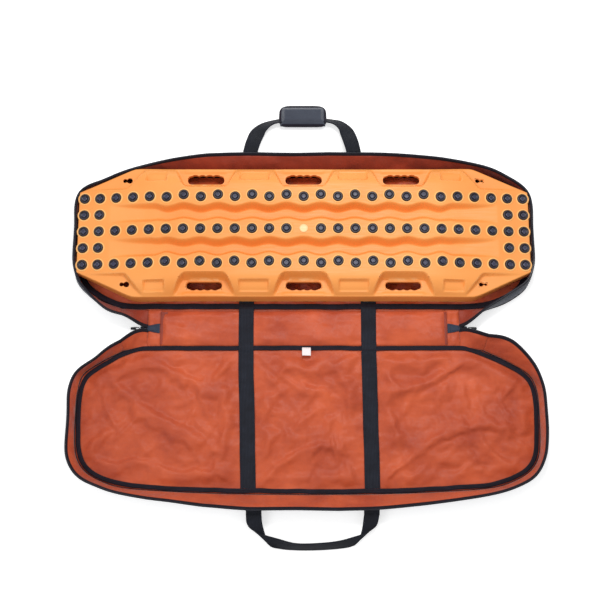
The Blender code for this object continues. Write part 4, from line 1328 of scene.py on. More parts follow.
def lining_floor(half, material, seed):
    """A loose lining sheet, flat where it is sewn and creased between, before it settles."""
    outline = floor_outline(half, inset=0.0020)
    if half == "lid":
        outline = lid_place(outline[::-1])
    folds = LID_FOLDS if half == "lid" else ()

    def lift(flat, depth):
        return FOLD_HEIGHT * held_share(flat, depth) * fold_field(flat, seed, folds)

    name, z = f"{half}_lining_floor", LINING_TOP - 0.0004
    obj = trimmed_sheet(name, outline, z, FLOOR_SPACING, material, lift)
    group = obj.vertex_groups.new(name="sewn")
    flat = np.array([v.co.xy for v in obj.data.vertices])
    depth = -polygon_distance(flat, outline)[0]
    sewn = np.where(held_share(flat, depth) < 0.02)[0]
    group.add([int(k) for k in sewn], 1.0, "REPLACE")
    return obj


def settle(linings):
    """Lets the loose linings fall and crumple on the bag's panels, then keeps their shapes."""
    bpy.ops.mesh.primitive_plane_add(size=3.0, location=(0, SPINE_MID_Y, LINING_TOP - 0.0022))
    ground = bpy.context.object
    ground.modifiers.new("ground", "COLLISION")
    ground.collision.thickness_outer = 0.001
    for obj in linings:
        cloth = obj.modifiers.new("cloth", "CLOTH")
        for key, value in CLOTH_SETTINGS.items():
            setattr(cloth.settings, key, value)
        cloth.collision_settings.distance_min = 0.001
        cloth.point_cache.frame_start = 1
        cloth.point_cache.frame_end = SETTLE_FRAMES
    scene = bpy.context.scene
    scene.frame_start, scene.frame_end = 1, SETTLE_FRAMES
    for number in range(1, SETTLE_FRAMES + 1):
        scene.frame_set(number)
    graph = bpy.context.evaluated_depsgraph_get()
    settled = [obj.evaluated_get(graph) for obj in linings]
    shapes = [bpy.data.meshes.new_from_object(obj, depsgraph=graph) for obj in settled]
    for obj, shape in zip(linings, shapes):
        obj.modifiers.clear()
        obj.data = shape
    scene.frame_set(1)
    bpy.data.objects.remove(ground)


def finish_lining(obj, half):
    """Keeps a settled lining off the panel and under the studs, smooths it and thickens it."""
    for vert in obj.data.vertices:
        over = max(vert.co.z - LINING_LIMIT + LIMIT_EASE, 0)
        vert.co.z -= over - LIMIT_EASE * (1 - math.exp(-over / LIMIT_EASE))
        vert.co.z = max(vert.co.z, LINING_TOP - 0.0006)
    smooth = obj.modifiers.new("smooth", "SUBSURF")
    smooth.levels = smooth.render_levels = 1
    thicken(obj, thickness=0.0006, offset=-1)
    recalculate_normals(obj)
    obj.vertex_groups.clear()
    attach(obj, half, f"{half}_lining_panel")


def base_panel(half, material):
    """The outer fabric under one half, with a soft rounded edge."""
    outline = floor_outline(half, inset=-0.0010, fold_gap=0.0006)
    if half == "lid":
        outline = lid_place(outline[::-1])

    def lift(flat, depth):
        waves = ripple(flat, size=0.07, seed=31) + 1
        return 0.0009 * (1 - smoothstep(depth / 0.010)) + 0.00025 * waves * smoothstep(depth / 0.02)

    name = f"{half}_base_fabric"
    obj = trimmed_sheet(name, outline, z=0.0018, spacing=0.012, material=material, lift=lift)
    thicken(obj, thickness=0.0016, offset=-1)
    recalculate_normals(obj)
    attach(obj, half, f"{half}_outer_panel")


def smoothed_loop(loop, spacing, rounds):
    """A closed outline with even spacing and its corners rounded."""
    closed = np.vstack([loop, loop[:1]])
    count = int(lengths(closed)[-1] / spacing)
    even = resample(closed, count + 1)[:-1]
    for _ in range(rounds):
        even = (even + np.roll(even, 1, axis=0) + np.roll(even, -1, axis=0)) / 3
    return even


def seam_binding(half, materials):
    """The rounded tape that covers the floor seam, with its line of stitches."""
    width, fold_gap = BINDING_SIZES[half]
    outline = floor_outline(half, inset=0.0085, fold_gap=fold_gap)
    loop = smoothed_loop(outline, spacing=0.006, rounds=6)
    wave, fine = ripple(loop, size=0.09, seed=5), ripple(loop, size=0.035, seed=6)
    away = outward(loop, closed=True)
    loop = loop + away * (0.0022 * wave + 0.0010 * fine)[:, None]
    z = np.full(len(loop), LINING_TOP + 0.0018)
    centres = np.column_stack([loop, z + 0.0008 * np.abs(wave)])
    side, up = level_frame(away)
    if half == "lid":
        centres, side = mirrored(centres, side)
    profile = rounded_profile(width, 0.0040, 0.0019, 3)
    name = f"{half}_seam_binding_tape"
    binding = sweep(name, centres, side, up, profile, materials["binding"], closed=True)
    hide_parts(f"{half}_seam_binding")
    if half == "lid":
        bend_at_fold(binding)
    else:
        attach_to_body(binding, half)
    inner = centres - side * 0.0030 + (0, 0, 0.0018)
    stitches = np.vstack([inner, inner[:1]])
    stitch_line(f"{half}_binding_stitches", stitches, (0, 0, 1), materials["thread"], half)


def half_shell(half, materials):
    """The wall, zip edge, base and bindings of one half of the bag, and its wall's two lines."""
    foot, top = wall_lines(half)
    lining_seed, outer_seed, cloth = WALL_LOOKS[half]
    lining = wall_grid(foot, top, bow=0.0006, crease=0.0040, seed=lining_seed)
    outer = wall_grid(foot, top, OUTER_BOW, crease=0.0009, seed=outer_seed)
    outer = outer + wall_normals(foot, top)[None] * SHELL_GAP
    outer[:, :, 2] = np.maximum(outer[:, :, 2], LOWEST_CLOTH_Z)
    wall_layer(half, "side_lining", lining, materials[cloth], LINING_CLOTH, "lining_wall")
    wall_layer(half, "side_fabric", outer, materials["shell"], OUTER_CLOTH, "outer_wall")
    zip_edge(half, foot, top, materials)
    base_panel(half, materials["shell"])
    base_piping(half, materials["binding"])
    seam_binding(half, materials)
    return foot, top


def base_piping(half, material):
    """A corded edge where the outer wall meets the bag's underside."""
    curve = both_sides(catmull_rom(SEAM[half], steps=12))
    curve = resample(curve, int(lengths(curve)[-1] / STATION_SPACING))
    away = outward(curve)
    centres = np.column_stack([curve + away * 0.0030, np.full(len(curve), 0.0034)])
    side, up = level_frame(away)
    if half == "lid":
        centres, side = mirrored(centres, side)
    cord = rounded_profile(0.0048, 0.0048, 0.0023, 3)
    piping = sweep(f"{half}_base_piping", centres, side, up, cord, material)
    attach(piping, half)


# ---- the spine between the halves ----

FOLD_CLOTH_REACH = 0.013


def spine(materials):
    """The part between the two halves, with its ends, tabs and the cloth across both folds."""
    spine_lining(materials)
    spine_fabric(materials["shell"])
    for (word, side), hem_width in zip(SIDES, (0.018, 0.008)):
        spine_end(word, side, materials["lining"])
        spine_pad_hem(word, side, hem_width, materials["painted_shade_lining"])
        zip_end_tab(word, side, materials)
    for half in FOLDS:
        fold_cloth(half, "fabric", 0.0009, OUTER_CLOTH, NOTCH_X - 0.002, materials["shell"])
        z, half_length = LINING_TOP - 0.0012, SPINE_HALF - 0.004
        fold_cloth(half, "lining", z, LINING_CLOTH, half_length, materials["lining"])


def spine_lining(materials):
    """The padded lining of the spine, its edges turned down and its face lightly creased."""
    xs = np.linspace(-SPINE_HALF, SPINE_HALF, 181)
    ys = np.linspace(LID_FOLD_Y + 0.0012, TRAY_FOLD_Y - 0.0012, 25)
    x, y = np.meshgrid(xs, ys)
    from_edge = np.minimum(SPINE_HALF - np.abs(x), np.minimum(y - ys[0], ys[-1] - y))
    crown = smoothstep((from_edge + 0.001) / 0.009)
    flat = np.column_stack([x.ravel(), y.ravel()])
    creases = fold_field(flat, seed=43).reshape(x.shape)
    free = between_straps(flat[:, 0], 0.03).reshape(x.shape) * smoothstep(from_edge / 0.018)
    z = LINING_TOP - 0.0010 + 0.0026 * crown + 0.0040 * creases * free
    places = np.stack([x, y, z], axis=-1)
    pad = sheet("spine_lining_pad", places, materials["lining"], LINING_CLOTH)
    attach(pad, "spine", "spine_lining_panel")
    inset = 0.0045
    corners = [(-1, -1), (1, -1), (1, 1), (-1, 1), (-1, -1)]
    half_y = (ys[-1] - ys[0]) / 2 - inset
    half_x = SPINE_HALF - inset
    loop = [(sx * half_x, SPINE_MID_Y + sy * half_y, LINING_TOP + 0.0016) for sx, sy in corners]
    stitch_line("spine_lining_stitches", loop, (0, 0, 1), materials["lining_thread"], "spine")


def spine_pad_hem(word, side, width, material):
    """The turned and sewn end of the spine's padded lining, in the darker lining that paints its
    shadow.
    """
    ys = np.linspace(LID_FOLD_Y + 0.0075, TRAY_FOLD_Y - 0.0060, 25)
    wander = ripple(np.column_stack([ys, ys * 0 + side]), size=0.03, seed=81)
    xs = side * (SPINE_HALF - width / 2) + 0.0010 * wander
    centres = np.column_stack([xs, ys, LINING_TOP + 0.0016 + 0.0006 * wander])
    across, up = level_frame(np.tile([1.0, 0.0], (len(ys), 1)))
    profile = rounded_profile(width, 0.0036, 0.0017, 3)
    hem = sweep(f"spine_pad_hem_{word}", centres, across, up, profile, material)
    attach(hem, "spine")


def spine_fabric(material):
    """The outer fabric of the spine, gently padded between its folds."""
    xs = np.linspace(-NOTCH_X + 0.002, NOTCH_X - 0.002, 101)
    ys = np.linspace(LID_FOLD_Y + 0.0008, TRAY_FOLD_Y - 0.0008, 17)
    x, y = np.meshgrid(xs, ys)
    from_edge = np.minimum(y - ys[0], ys[-1] - y)
    z = 0.0012 + 0.0008 * (1 - smoothstep(from_edge / 0.010))
    obj = sheet("spine_outer_fabric", np.stack([x, y, z], axis=-1), material, OUTER_CLOTH)
    attach(obj, "spine", "spine_outer_panel")


def spine_end(word, side, material):
    """Creased lining between the spine's padded part and the end of the zip."""
    u, v = np.meshgrid(np.linspace(0, 1, 20), np.linspace(-1, 1, 41))
    low_x = SPINE_HALF - 0.0035
    x = low_x + (NOTCH_X + 0.002 - low_x) * u
    y = SPINE_MID_Y + v * (TRAY_FOLD_Y - SPINE_MID_Y + 0.0006)
    flat = np.column_stack([x.ravel() * side, y.ravel()])
    crumple = ripple(flat * (2.2, 1), size=0.022, seed=51).reshape(x.shape)
    held = smoothstep(np.minimum(u, 1 - u) / 0.25) * smoothstep((1 - np.abs(v)) / 0.2)
    z = LINING_TOP - 0.0010 + 0.0036 * held * (0.5 + 0.5 * crumple)
    places = np.stack([x * side, y, z], axis=-1)
    obj = sheet(f"spine_end_lining_{word}", places, material, LINING_CLOTH)
    attach(obj, "spine", f"spine_end_{word}")


def fold_cloth(half, layer, z, thickness, half_length, material):
    """The cloth across a fold, between the half and the spine."""
    fold_y, away = FOLDS[half]
    xs = np.linspace(-half_length, half_length, 61)
    ys = fold_y + away * np.linspace(-FOLD_CLOTH_REACH, FOLD_CLOTH_REACH, 15)
    x, y = np.meshgrid(xs, ys)
    places = np.stack([x, y, np.full_like(x, z)], axis=-1)
    obj = sheet(f"{half}_fold_{layer}", places, material, thickness)
    bend_at_fold(obj)


def zip_end_tab(word, side, materials):
    """The folded fabric tab that closes the end of the zip, sewn down with a box of stitches."""
    low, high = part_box(f"zip_end_tab_{word}")
    mid_x, mid_y = (low.x + high.x) / 2, (low.y + high.y) / 2
    half_x, half_y = (high.x - low.x) / 2 + 0.001, (high.y - low.y) / 2
    u, v = np.meshgrid(np.linspace(-1, 1, 17), np.linspace(-1, 1, 17))
    squeeze = 1 - 0.45 * smoothstep((u * side + 1) / 2)
    x, y = mid_x + half_x * u, mid_y + half_y * v * squeeze
    edge = np.minimum(1 - np.abs(u), 1 - np.abs(v))
    z = low.z + 0.0016 + 0.0022 * smoothstep(edge / 0.4)
    places = np.stack([x, y, z], axis=-1)
    obj = sheet(f"zip_end_fabric_{word}", places, materials["tab"], thickness=0.0014)
    attach(obj, "spine", f"zip_end_tab_{word}")
    box = ((-0.6, -0.55), (0.6, -0.4), (0.6, 0.4), (-0.6, 0.55), (-0.6, -0.55))
    path = [(mid_x + side * sx * half_x, mid_y + sy * half_y, low.z + 0.0046) for sx, sy in box]
    name = f"zip_end_stitches_{word}"
    stitch_line(name, path, (0, 0, 1), materials["thread"], "spine", pitch=0.0040)


# ---- webbing ----

STRAP_PROFILE = rounded_profile(WEBBING_WIDTH, 0.0016, 0.0007, 2)
HANDLE_PROFILE = rounded_profile(WEBBING_WIDTH, 0.0024, 0.0011, 2)
WEBBING_STITCHES = 0.0155        # from the middle of the webbing to each row of stitches
STRAP_CUT = 0.0125               # from a fold to where the straight lengths of a strap end
STRAP_STEP = 0.0012              # how much higher a strap lies on the spine's padding


def flat_strap(name, x, y_from, y_to, z, material, drift=0.0, wave=0.0):
    """A flat length of webbing along Y, with a slight wander and lift, and its middle line."""
    count = max(int(abs(y_to - y_from) / STATION_SPACING), 3)
    ys = np.linspace(y_from, y_to, count)
    share = np.linspace(0, 1, count)
    samples = np.column_stack([ys, ys * 0 + x])
    xs = x + drift * share + 0.0010 * ripple(samples, size=0.08, seed=61)
    lift = np.maximum(ripple(samples, size=0.06, seed=62) + 0.3, 0)
    zs = z + wave * lift * np.sin(math.pi * share) ** 0.5
    centres = np.column_stack([xs, ys, zs])
    return sweep(name, centres, *band_frame(centres), STRAP_PROFILE, material), centres


def strap_stitches(name, centres, body, material):
    """A row of stitches near each edge of a strap."""
    for word, offset in (("a", -WEBBING_STITCHES), ("b", WEBBING_STITCHES)):
        path = centres + (offset, 0, 0.0010)
        stitch_line(f"{name}_stitches_{word}", path, (0, 0, 1), material, body)


def straps(materials):
    """The two straps sewn across tray, spine and lid, with humped lengths across the folds."""
    z = LINING_TOP + 0.0012
    tray_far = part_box("tray_strap_left")[1].y
    lid_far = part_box("lid_strap_left")[0].y - 0.010
    for word, x in STRAPS_X.items():
        lid_wander = {"drift": STRAP_DRIFT[word], "wave": 0.0040}
        for body, y_from, y_to, height, wander in (
            ("tray", TRAY_FOLD_Y + STRAP_CUT, tray_far, z, {}),
            ("spine", LID_FOLD_Y + STRAP_CUT, TRAY_FOLD_Y - STRAP_CUT, z + STRAP_STEP, {}),
            ("lid", LID_FOLD_Y - STRAP_CUT, lid_far, z, lid_wander),
        ):
            name = f"{body}_webbing_{word}"
            strap, line = flat_strap(name, x, y_from, y_to, height, materials["webbing"], **wander)
            attach(strap, body, f"{body}_strap_{word}")
            strap_stitches(name, line, body, materials["thread"])
        for half, (fold_y, away) in FOLDS.items():
            ys = fold_y + away * np.linspace(STRAP_CUT + 0.0006, -STRAP_CUT - 0.0006, 17)
            hump = 0.0030 * np.sin(math.pi * np.linspace(0, 1, 17)) ** 1.5
            zs = z + hump + np.linspace(0, STRAP_STEP, 17)
            centres = np.column_stack([np.full(17, x), ys, zs])
            name = f"{half}_fold_webbing_{word}"
            bend = sweep(name, centres, *band_frame(centres), STRAP_PROFILE, materials["webbing"])
            bend_at_fold(bend)


# Carry handle stations: centre and half-width vector, from the left foot to the right.
BACK_HANDLE = [
    ((-0.137, 0.2200, 0.0460), (0.0190, 0.000, 0.000)),
    ((-0.130, 0.2480, 0.0400), (0.0188, -0.004, 0.001)),
    ((-0.120, 0.2760, 0.0280), (0.0170, -0.009, 0.004)),
    ((-0.104, 0.2970, 0.0200), (0.0080, -0.013, 0.010)),
    ((-0.078, 0.3110, 0.0185), (0.0010, -0.009, 0.009)),
    ((-0.040, 0.3170, 0.0190), (0.0000, -0.008, 0.008)),
    ((0.0, 0.3180, 0.0190), (0.0000, -0.008, 0.008)),
    ((0.040, 0.3170, 0.0190), (0.0000, -0.008, 0.008)),
    ((0.074, 0.3130, 0.0185), (-0.0010, -0.009, 0.009)),
    ((0.096, 0.3030, 0.0200), (-0.0060, -0.013, 0.010)),
    ((0.112, 0.2800, 0.0280), (-0.0160, -0.010, 0.005)),
    ((0.122, 0.2500, 0.0400), (-0.0190, -0.004, 0.001)),
    ((0.129, 0.2200, 0.0460), (-0.0190, 0.000, 0.000)),
]
FRONT_HANDLE = [
    ((-0.121, -0.7045, 0.0300), (-0.0190, 0.000, 0.000)),
    ((-0.119, -0.7250, 0.0230), (-0.0190, 0.000, 0.000)),
    ((-0.110, -0.7460, 0.0150), (-0.0175, 0.007, 0.002)),
    ((-0.095, -0.7630, 0.0130), (-0.0130, 0.015, 0.004)),
    ((-0.060, -0.7730, 0.0120), (-0.0030, 0.012, 0.009)),
    ((-0.020, -0.7800, 0.0120), (0.0000, 0.008, 0.010)),
    ((0.030, -0.7800, 0.0120), (0.0000, 0.008, 0.010)),
    ((0.080, -0.7760, 0.0120), (0.0010, 0.009, 0.010)),
    ((0.118, -0.7680, 0.0130), (0.0050, 0.012, 0.008)),
    ((0.143, -0.7570, 0.0150), (0.0140, 0.013, 0.004)),
    ((0.158, -0.7350, 0.0200), (0.0180, 0.005, 0.001)),
    ((0.164, -0.7045, 0.0300), (0.0190, 0.000, 0.000)),
]
# Each handle's stations, the half it is sewn to, and how far its roots reach in and rise.
HANDLES = {
    "back_handle": (BACK_HANDLE, "tray", 0.0110, -0.0030),
    "front_handle": (FRONT_HANDLE, "lid", 0.0205, 0.0060),
}


def handle_roots(name, stations, half, reach, rise, material):
    """The short lengths of webbing that come off the wall to where a handle swings."""
    away = FOLDS[half][1]
    for word, ((x, y, z), _) in (("left", stations[0]), ("right", stations[-1])):
        shares = (1.0, 0.6, 0.25, -0.05)
        path = [(x, y - away * reach * share, z + rise * share - 0.0004) for share in shares]
        centres = catmull_rom(path, steps=5)
        side, up = band_frame(centres)
        root = sweep(f"{name}_root_{word}", centres, side, up, HANDLE_PROFILE, material)
        attach(root, half)


def carry_handle(name, stations, materials):
    """A twisting loop of webbing with a row of stitches near each edge."""
    centres = catmull_rom([c for c, _ in stations], steps=12)
    widths = catmull_rom([w for _, w in stations], steps=12)
    half = np.linalg.norm(widths, axis=1)
    side = widths / half[:, None]
    up = np.cross(side, tangents(centres))
    up = up / np.linalg.norm(up, axis=1)[:, None]
    obj = sweep(f"{name}_loop", centres, side, up, HANDLE_PROFILE, materials["handle"])
    squeeze = (2 * half / WEBBING_WIDTH)[:, None, None]
    across, lift = HANDLE_PROFILE[None, :, :1], HANDLE_PROFILE[None, :, 1:]
    places = centres[:, None] + across * squeeze * side[:, None] + lift * up[:, None]
    for vert, place in zip(obj.data.vertices, places.reshape(-1, 3)):
        vert.co = place
    obj.data.update()
    attach(obj, name, f"{name}_webbing")
    ends = slice(3, -3)
    for word, edge in (("inner", -0.80), ("outer", 0.80)):
        line = centres + side * (edge * half)[:, None]
        for face, lift in (("top", 0.0013), ("under", -0.0013)):
            path, ups = (line + up * lift)[ends], up[ends] * np.sign(lift)
            ups = resample(ups, max(int(lengths(path)[-1] / STITCH_PITCH), 2))
            row = f"{name}_loop_{word}_{face}_stitches"
            stitch_line(row, path, ups, materials["thread"], name)


def wall_patch(half, foot, top, x, offset):
    """Stations up the outside of a wall at one x, as places and outward directions."""
    candidates = np.where((foot[:, 1] > 0.10))[0]
    k = candidates[np.argmin(np.abs(foot[candidates, 0] - x))]
    normal = wall_normals(foot, top)[k]
    f = np.linspace(0.05, 1.12, 14)[:, None]
    bow = OUTER_BOW * np.sin(math.pi * np.clip(f, 0, 1)) ** 0.8
    line = foot[k] * (1 - f) + top[k] * f + normal * (bow + offset)
    normals = np.tile(normal, (len(line), 1))
    return mirrored(line, normals) if half == "lid" else (line, normals)


def handle_anchors(name, stations, half, wall, materials):
    """The sewn ends of a carry handle, running down the outside of the wall."""
    for word, ((x, _, _), _) in (("left", stations[0]), ("right", stations[-1])):
        line, normals = wall_patch(half, *wall, x, SHELL_GAP + 0.0019)
        line[:, 0] = x
        side, up = band_frame(line, normals)
        profile = rounded_profile(WEBBING_WIDTH, 0.0020, 0.0009, 2)
        label = f"{name}_anchor_webbing_{word}"
        patch = sweep(label, line, side, up, profile, materials["handle"])
        attach(patch, half, f"{name}_anchor_{word}")
        face = line + up * 0.0012
        left, right = face - side * WEBBING_STITCHES, face + side * WEBBING_STITCHES
        a, b = 2, -4
        box = [left[a], right[a], right[b], left[b], left[a], right[b], right[a], left[b]]
        label = f"{name}_anchor_stitches_{word}"
        stitch_line(label, box, up[5], materials["thread"], half, pitch=0.0038)


def grip_wrap(materials):
    """The padded wrap round the back handle: two quilted faces, a bound edge and its stitches."""
    low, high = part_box("back_handle_pad")
    centre = (Vector(low) + Vector(high)) / 2
    half = (Vector(high) - Vector(low)) / 2
    faces = ((1, "upper"), (-1, "lower"))
    u, v = np.meshgrid(np.linspace(-1, 1, 61), np.linspace(-1, 1, 31))
    x = centre.x + half.x * u * np.where(v > 0, 1 - 0.17 * np.abs(v) ** 5, 1.0)
    y = centre.y + half.y * v
    border = np.minimum((1 - np.abs(u)) * half.x, (1 - np.abs(v)) * half.y)
    crown = smoothstep((border + 0.001) / 0.015)
    bead = 0.0012 * np.exp(-((border - 0.0075) / 0.0018) ** 2)
    flat = np.column_stack([x.ravel(), y.ravel()])
    dimple = 0.0011 * ripple(flat, size=0.022, seed=71).reshape(x.shape)
    for face, word in faces:
        z = centre.z + face * (0.0030 + (half.z - 0.0050) * crown - bead + dimple * crown)
        places = np.stack([x, y, z], axis=-1)
        obj = sheet(f"grip_wrap_{word}", places, materials["grip"], OUTER_CLOTH)
        attach(obj, "back_handle", "back_handle_pad" if face == 1 else None)
    loop = []
    for a in np.linspace(0, 2 * math.pi, 120, endpoint=False):
        u, v = (math.copysign(abs(c) ** 0.22, c) for c in (math.cos(a), math.sin(a)))
        reach = 1 - 0.17 * max(v, 0) ** 5
        loop.append((centre.x + half.x * u * reach, centre.y + half.y * v, centre.z))
    loop = smoothed_loop(np.array(loop)[::-1], spacing=0.004, rounds=2)
    side, up = level_frame(outward(loop, closed=True))
    profile = rounded_profile(0.0095, 0.0120, 0.0042, 4)
    edge = loop - side * 0.0015
    border = sweep("grip_wrap_binding", edge, side, up, profile, materials["binding"], closed=True)
    attach(border, "back_handle")
    for face, word in faces:
        line = loop - side * 0.0035 + up * (0.0062 * face)
        path, row = np.vstack([line, line[:1]]), f"grip_wrap_stitches_{word}"
        stitch_line(row, path, (0, 0, face), materials["thread"], "back_handle")


# ---- small parts ----

LABEL_LENGTH = 0.022
SLIDER_PLATE = 0.0013


def care_label(material, thread):
    """A blank white label sewn in at one edge, its free edge curling up."""
    low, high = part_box("care_label")
    u, v = np.meshgrid(np.linspace(0, 1, 15), np.linspace(0, 1, 17))
    x = low.x + (high.x - low.x) * u
    y = LID_FOLD_Y - 0.0015 - LABEL_LENGTH * v
    lift = 0.0040 * smoothstep(v / 0.25)
    curl = 0.0040 * v ** 2.2 * (0.75 + 0.25 * np.cos(math.pi * (u - 0.3) * 1.6))
    z = LINING_TOP + 0.0042 + lift + curl + 0.0006 * np.sin(3.2 * math.pi * u) * v
    obj = sheet("blank_label", np.stack([x, y, z], axis=-1), material, thickness=0.0004)
    attach(obj, "lid", "care_label")
    row = [(x, LID_FOLD_Y - 0.0030, LINING_TOP + 0.0050) for x in (low.x + 0.001, high.x - 0.001)]
    stitch_line("label_stitches", row, (0, 0, 1), thread, "lid", pitch=0.0036)


def plate_shape(outline, z_low, z_high):
    """Vertices and faces of a flat plate."""
    count = len(outline)
    verts = [(x, y, z_low) for x, y in outline] + [(x, y, z_high) for x, y in outline]
    faces = [list(range(count))[::-1], list(range(count, 2 * count))]
    faces += [[k, (k + 1) % count, count + (k + 1) % count, count + k] for k in range(count)]
    return verts, faces


def frame_shape(outer, inner, z_low, z_high):
    """A flat ring between two outlines that have the same number of places."""
    count = len(outer)
    rings = [(outer, z_low), (outer, z_high), (inner, z_high), (inner, z_low)]
    verts = [(x, y, z) for ring, z in rings for x, y in ring]
    faces = [[int(k) for k in f] for f in grid_faces(4, count, wrap_rows=True, wrap_cols=True)]
    return verts, faces


def joined_piece(name, shapes, material, rounding):
    """One object made of several small solid shapes, with softened edges."""
    verts, faces = [], []
    for shape_verts, shape_faces in shapes:
        first = len(verts)
        verts += list(shape_verts)
        faces += [[first + k for k in f] for f in shape_faces]
    obj = add_piece(name, verts, faces, material)
    recalculate_normals(obj)
    edges = obj.modifiers.new("edges", "BEVEL")
    edges.width = rounding
    edges.segments = 2
    edges.limit_method = "ANGLE"
    apply_modifiers(obj)
    sharpen(obj, degrees=40)
    return obj


def rod_shape(path, radius, sides=8):
    """Vertices and faces of a bent round rod."""
    path = np.array(path, float)
    along = tangents(path)
    side = np.cross(along, (0, 1, 0))
    side = side / np.linalg.norm(side, axis=1)[:, None]
    up = np.cross(side, along)
    ring = arc(0, 0, radius, 0, 360, sides)[:-1]
    places = path[:, None] + ring[None, :, :1] * side[:, None] + ring[None, :, 1:] * up[:, None]
    faces = [list(map(int, f)) for f in grid_faces(len(path), sides, wrap_cols=True)]
    faces.append(list(range(sides))[::-1])
    faces.append([len(path) * sides - sides + k for k in range(sides)])
    return places.reshape(-1, 3), faces


def zip_slider(word, side, material):
    """The zip's slider: two flanged plates, the wedge between them and the bridge for the pull."""
    low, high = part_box(f"zip_slider_{word}")
    cx, cy = (low.x + high.x) / 2, (low.y + high.y) / 2
    length, width = high.x - low.x, high.y - low.y

    def plate(shares, z_low, z_high):
        outline = [(cx + side * x * length, cy + y * width) for x, y in shares]
        return plate_shape(outline, z_low, z_high)

    body = [(-0.50, 0.30), (-0.44, 0.38), (0.05, 0.48), (0.34, 0.50), (0.50, 0.36), (0.50, 0.0)]
    body += [(x, -y) for x, y in body[-2::-1]]
    wedge = [(0.02, 0.0), (0.42, 0.20), (0.42, -0.20)]
    flange = [(-0.42, 0.36), (0.30, 0.49), (0.30, 0.41), (-0.42, 0.29)]
    shapes = [
        plate(body, low.z, low.z + SLIDER_PLATE),
        plate(body, high.z - SLIDER_PLATE, high.z),
        plate(wedge, low.z + 0.001, high.z - 0.001),
    ]
    for edge in (-1, 1):
        shapes.append(plate([(x, edge * y) for x, y in flange], high.z - 0.0020, high.z - 0.0010))
    arch = ((-0.34, 0), (-0.30, 0.0014), (-0.12, 0.0020), (0.18, 0.0020), (0.36, 0.0014), (0.40, 0))
    bridge = [(cx + side * length * a, cy, high.z - 0.0003 + h) for a, h in arch]
    shapes.append(rod_shape(catmull_rom(bridge, steps=4), radius=0.0008))
    slider = joined_piece(f"zip_slider_body_{word}", shapes, material, rounding=0.0003)
    attach(slider, f"slider_{word}", f"zip_slider_{word}")


def pull_tab(word, side, material):
    """The moulded pull: a ring at the slider and a ribbed grip."""
    low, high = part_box(f"zip_pull_tab_{word}")
    cy, cz = (low.y + high.y) / 2, (low.z + high.z) / 2
    near, far = (low.x, high.x) if side > 0 else (high.x, low.x)
    near += side * 0.0006
    length, width = abs(far - near), (high.y - low.y) * 0.86
    outer = rounded_profile(length, width, 0.0028, 5) * (side, 1) + ((near + far) / 2, cy)
    inner = rounded_profile(length * 0.34, width * 0.46, 0.0014, 5)
    inner = inner * (side, 1) + (near + side * length * 0.24, cy)
    shapes = [frame_shape(outer, inner, cz - 0.0009, cz + 0.0009)]
    for k in range(5):
        x = near + side * length * (0.52 + 0.085 * k)
        rib = rounded_profile(0.0009, width * 0.66, 0.0003, 2) + (x, cy)
        shapes.append(plate_shape([tuple(p) for p in rib], cz - 0.0013, cz + 0.0013))
    pull = joined_piece(f"pull_tab_grip_{word}", shapes, material, rounding=0.0003)
    attach(pull, f"pull_{word}", f"zip_pull_tab_{word}")


# ---- stage ----

CAMERA_HEIGHT = 2.9186
CAMERA_Y = -0.879
CAMERA_X = -0.0092
CAMERA_TILT = 76.25
LENS = 70.87
LIGHT_TARGET = (0, -0.15, 0)


def stage():
    """A pale floor."""
    bpy.ops.mesh.primitive_plane_add(size=40.0, location=(0, 0, -0.0004))
    floor = bpy.context.object
    floor.name = "floor"
    made, tree, shader, coords = new_material("floor_paper")
    tone = noise_value(tree, coords.outputs["Object"], 3.0)
    set_inputs(tree, shader, Roughness=0.9, Emission_Color=(1, 1, 1, 1), Emission_Strength=0.50,
               Base_Color=mix_colours(tree, tone, (0.93, 0.93, 0.93, 1), (0.95, 0.95, 0.95, 1)))
    floor.data.materials.append(made)


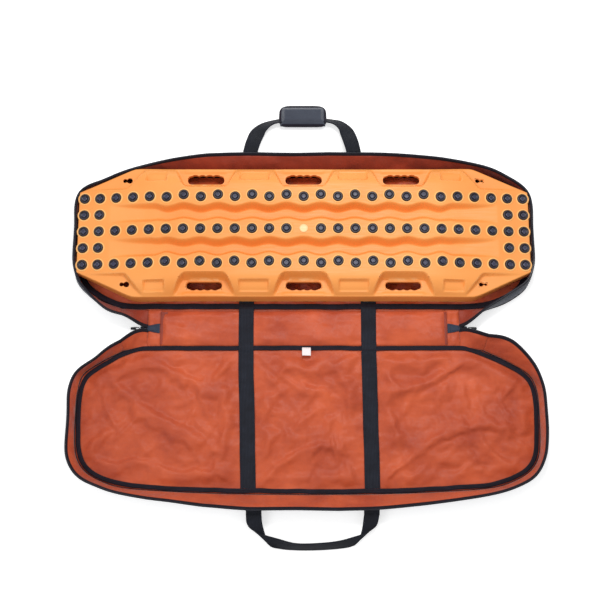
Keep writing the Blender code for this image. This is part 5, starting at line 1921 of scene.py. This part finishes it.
def area_light(name, place, size, power):
    """A round soft lamp turned towards the middle of the object."""
    lamp = bpy.data.lights.new(name, "AREA")
    lamp.shape = "DISK"
    lamp.size = size
    lamp.energy = power
    obj = bpy.data.objects.new(name, lamp)
    obj.location = place
    direction = Vector(LIGHT_TARGET) - Vector(place)
    obj.rotation_euler = direction.to_track_quat("-Z", "Y").to_euler()
    bpy.context.scene.collection.objects.link(obj)


def lights():
    """White surroundings, a soft key from above and behind, and a weak fill."""
    world = bpy.data.worlds.new("studio")
    world.use_nodes = True
    background = world.node_tree.nodes["Background"]
    background.inputs["Color"].default_value = (1.0, 1.0, 1.0, 1.0)
    background.inputs["Strength"].default_value = 0.62
    scene = bpy.context.scene
    scene.world = world
    area_light("key", (0.15, 0.50, 1.6), size=0.6, power=15.0)
    area_light("fill", (-2.0, -1.4, 2.6), size=2.0, power=16.0)
    scene.view_settings.view_transform = "Standard"


def camera():
    """The photo's point of view: almost overhead, a little from the lid's side."""
    lens = bpy.data.cameras.new("camera")
    lens.lens = LENS
    lens.sensor_width = 36.0
    obj = bpy.data.objects.new("camera", lens)
    obj.location = (CAMERA_X, CAMERA_Y, CAMERA_HEIGHT)
    obj.rotation_euler = (math.radians(90 - CAMERA_TILT), 0, 0)
    bpy.context.scene.collection.objects.link(obj)
    bpy.context.scene.camera = obj


# ---- assembly ----

def build():
    """Makes every piece and binds most of them to their bodies."""
    materials = make_materials()
    board_shell(materials["board"])
    studs(materials)
    centre_badge(materials["badge"])
    linings = {half: lining_floor(half, materials["lining"], LINING_SEEDS[half]) for half in FOLDS}
    settle(list(linings.values()))
    for half, lining in linings.items():
        finish_lining(lining, half)
    walls = {half: half_shell(half, materials) for half in FOLDS}
    spine(materials)
    straps(materials)
    for name, (stations, half, reach, rise) in HANDLES.items():
        carry_handle(name, stations, materials)
        handle_roots(name, stations, half, reach, rise, materials["handle"])
        handle_anchors(name, stations, half, walls[half], materials)
    grip_wrap(materials)
    care_label(materials["label"], materials["thread"])
    for word, side in SIDES:
        zip_slider(word, side, materials["metal"])
        pull_tab(word, side, materials["pull"])


build()
stage()
lights()
camera()
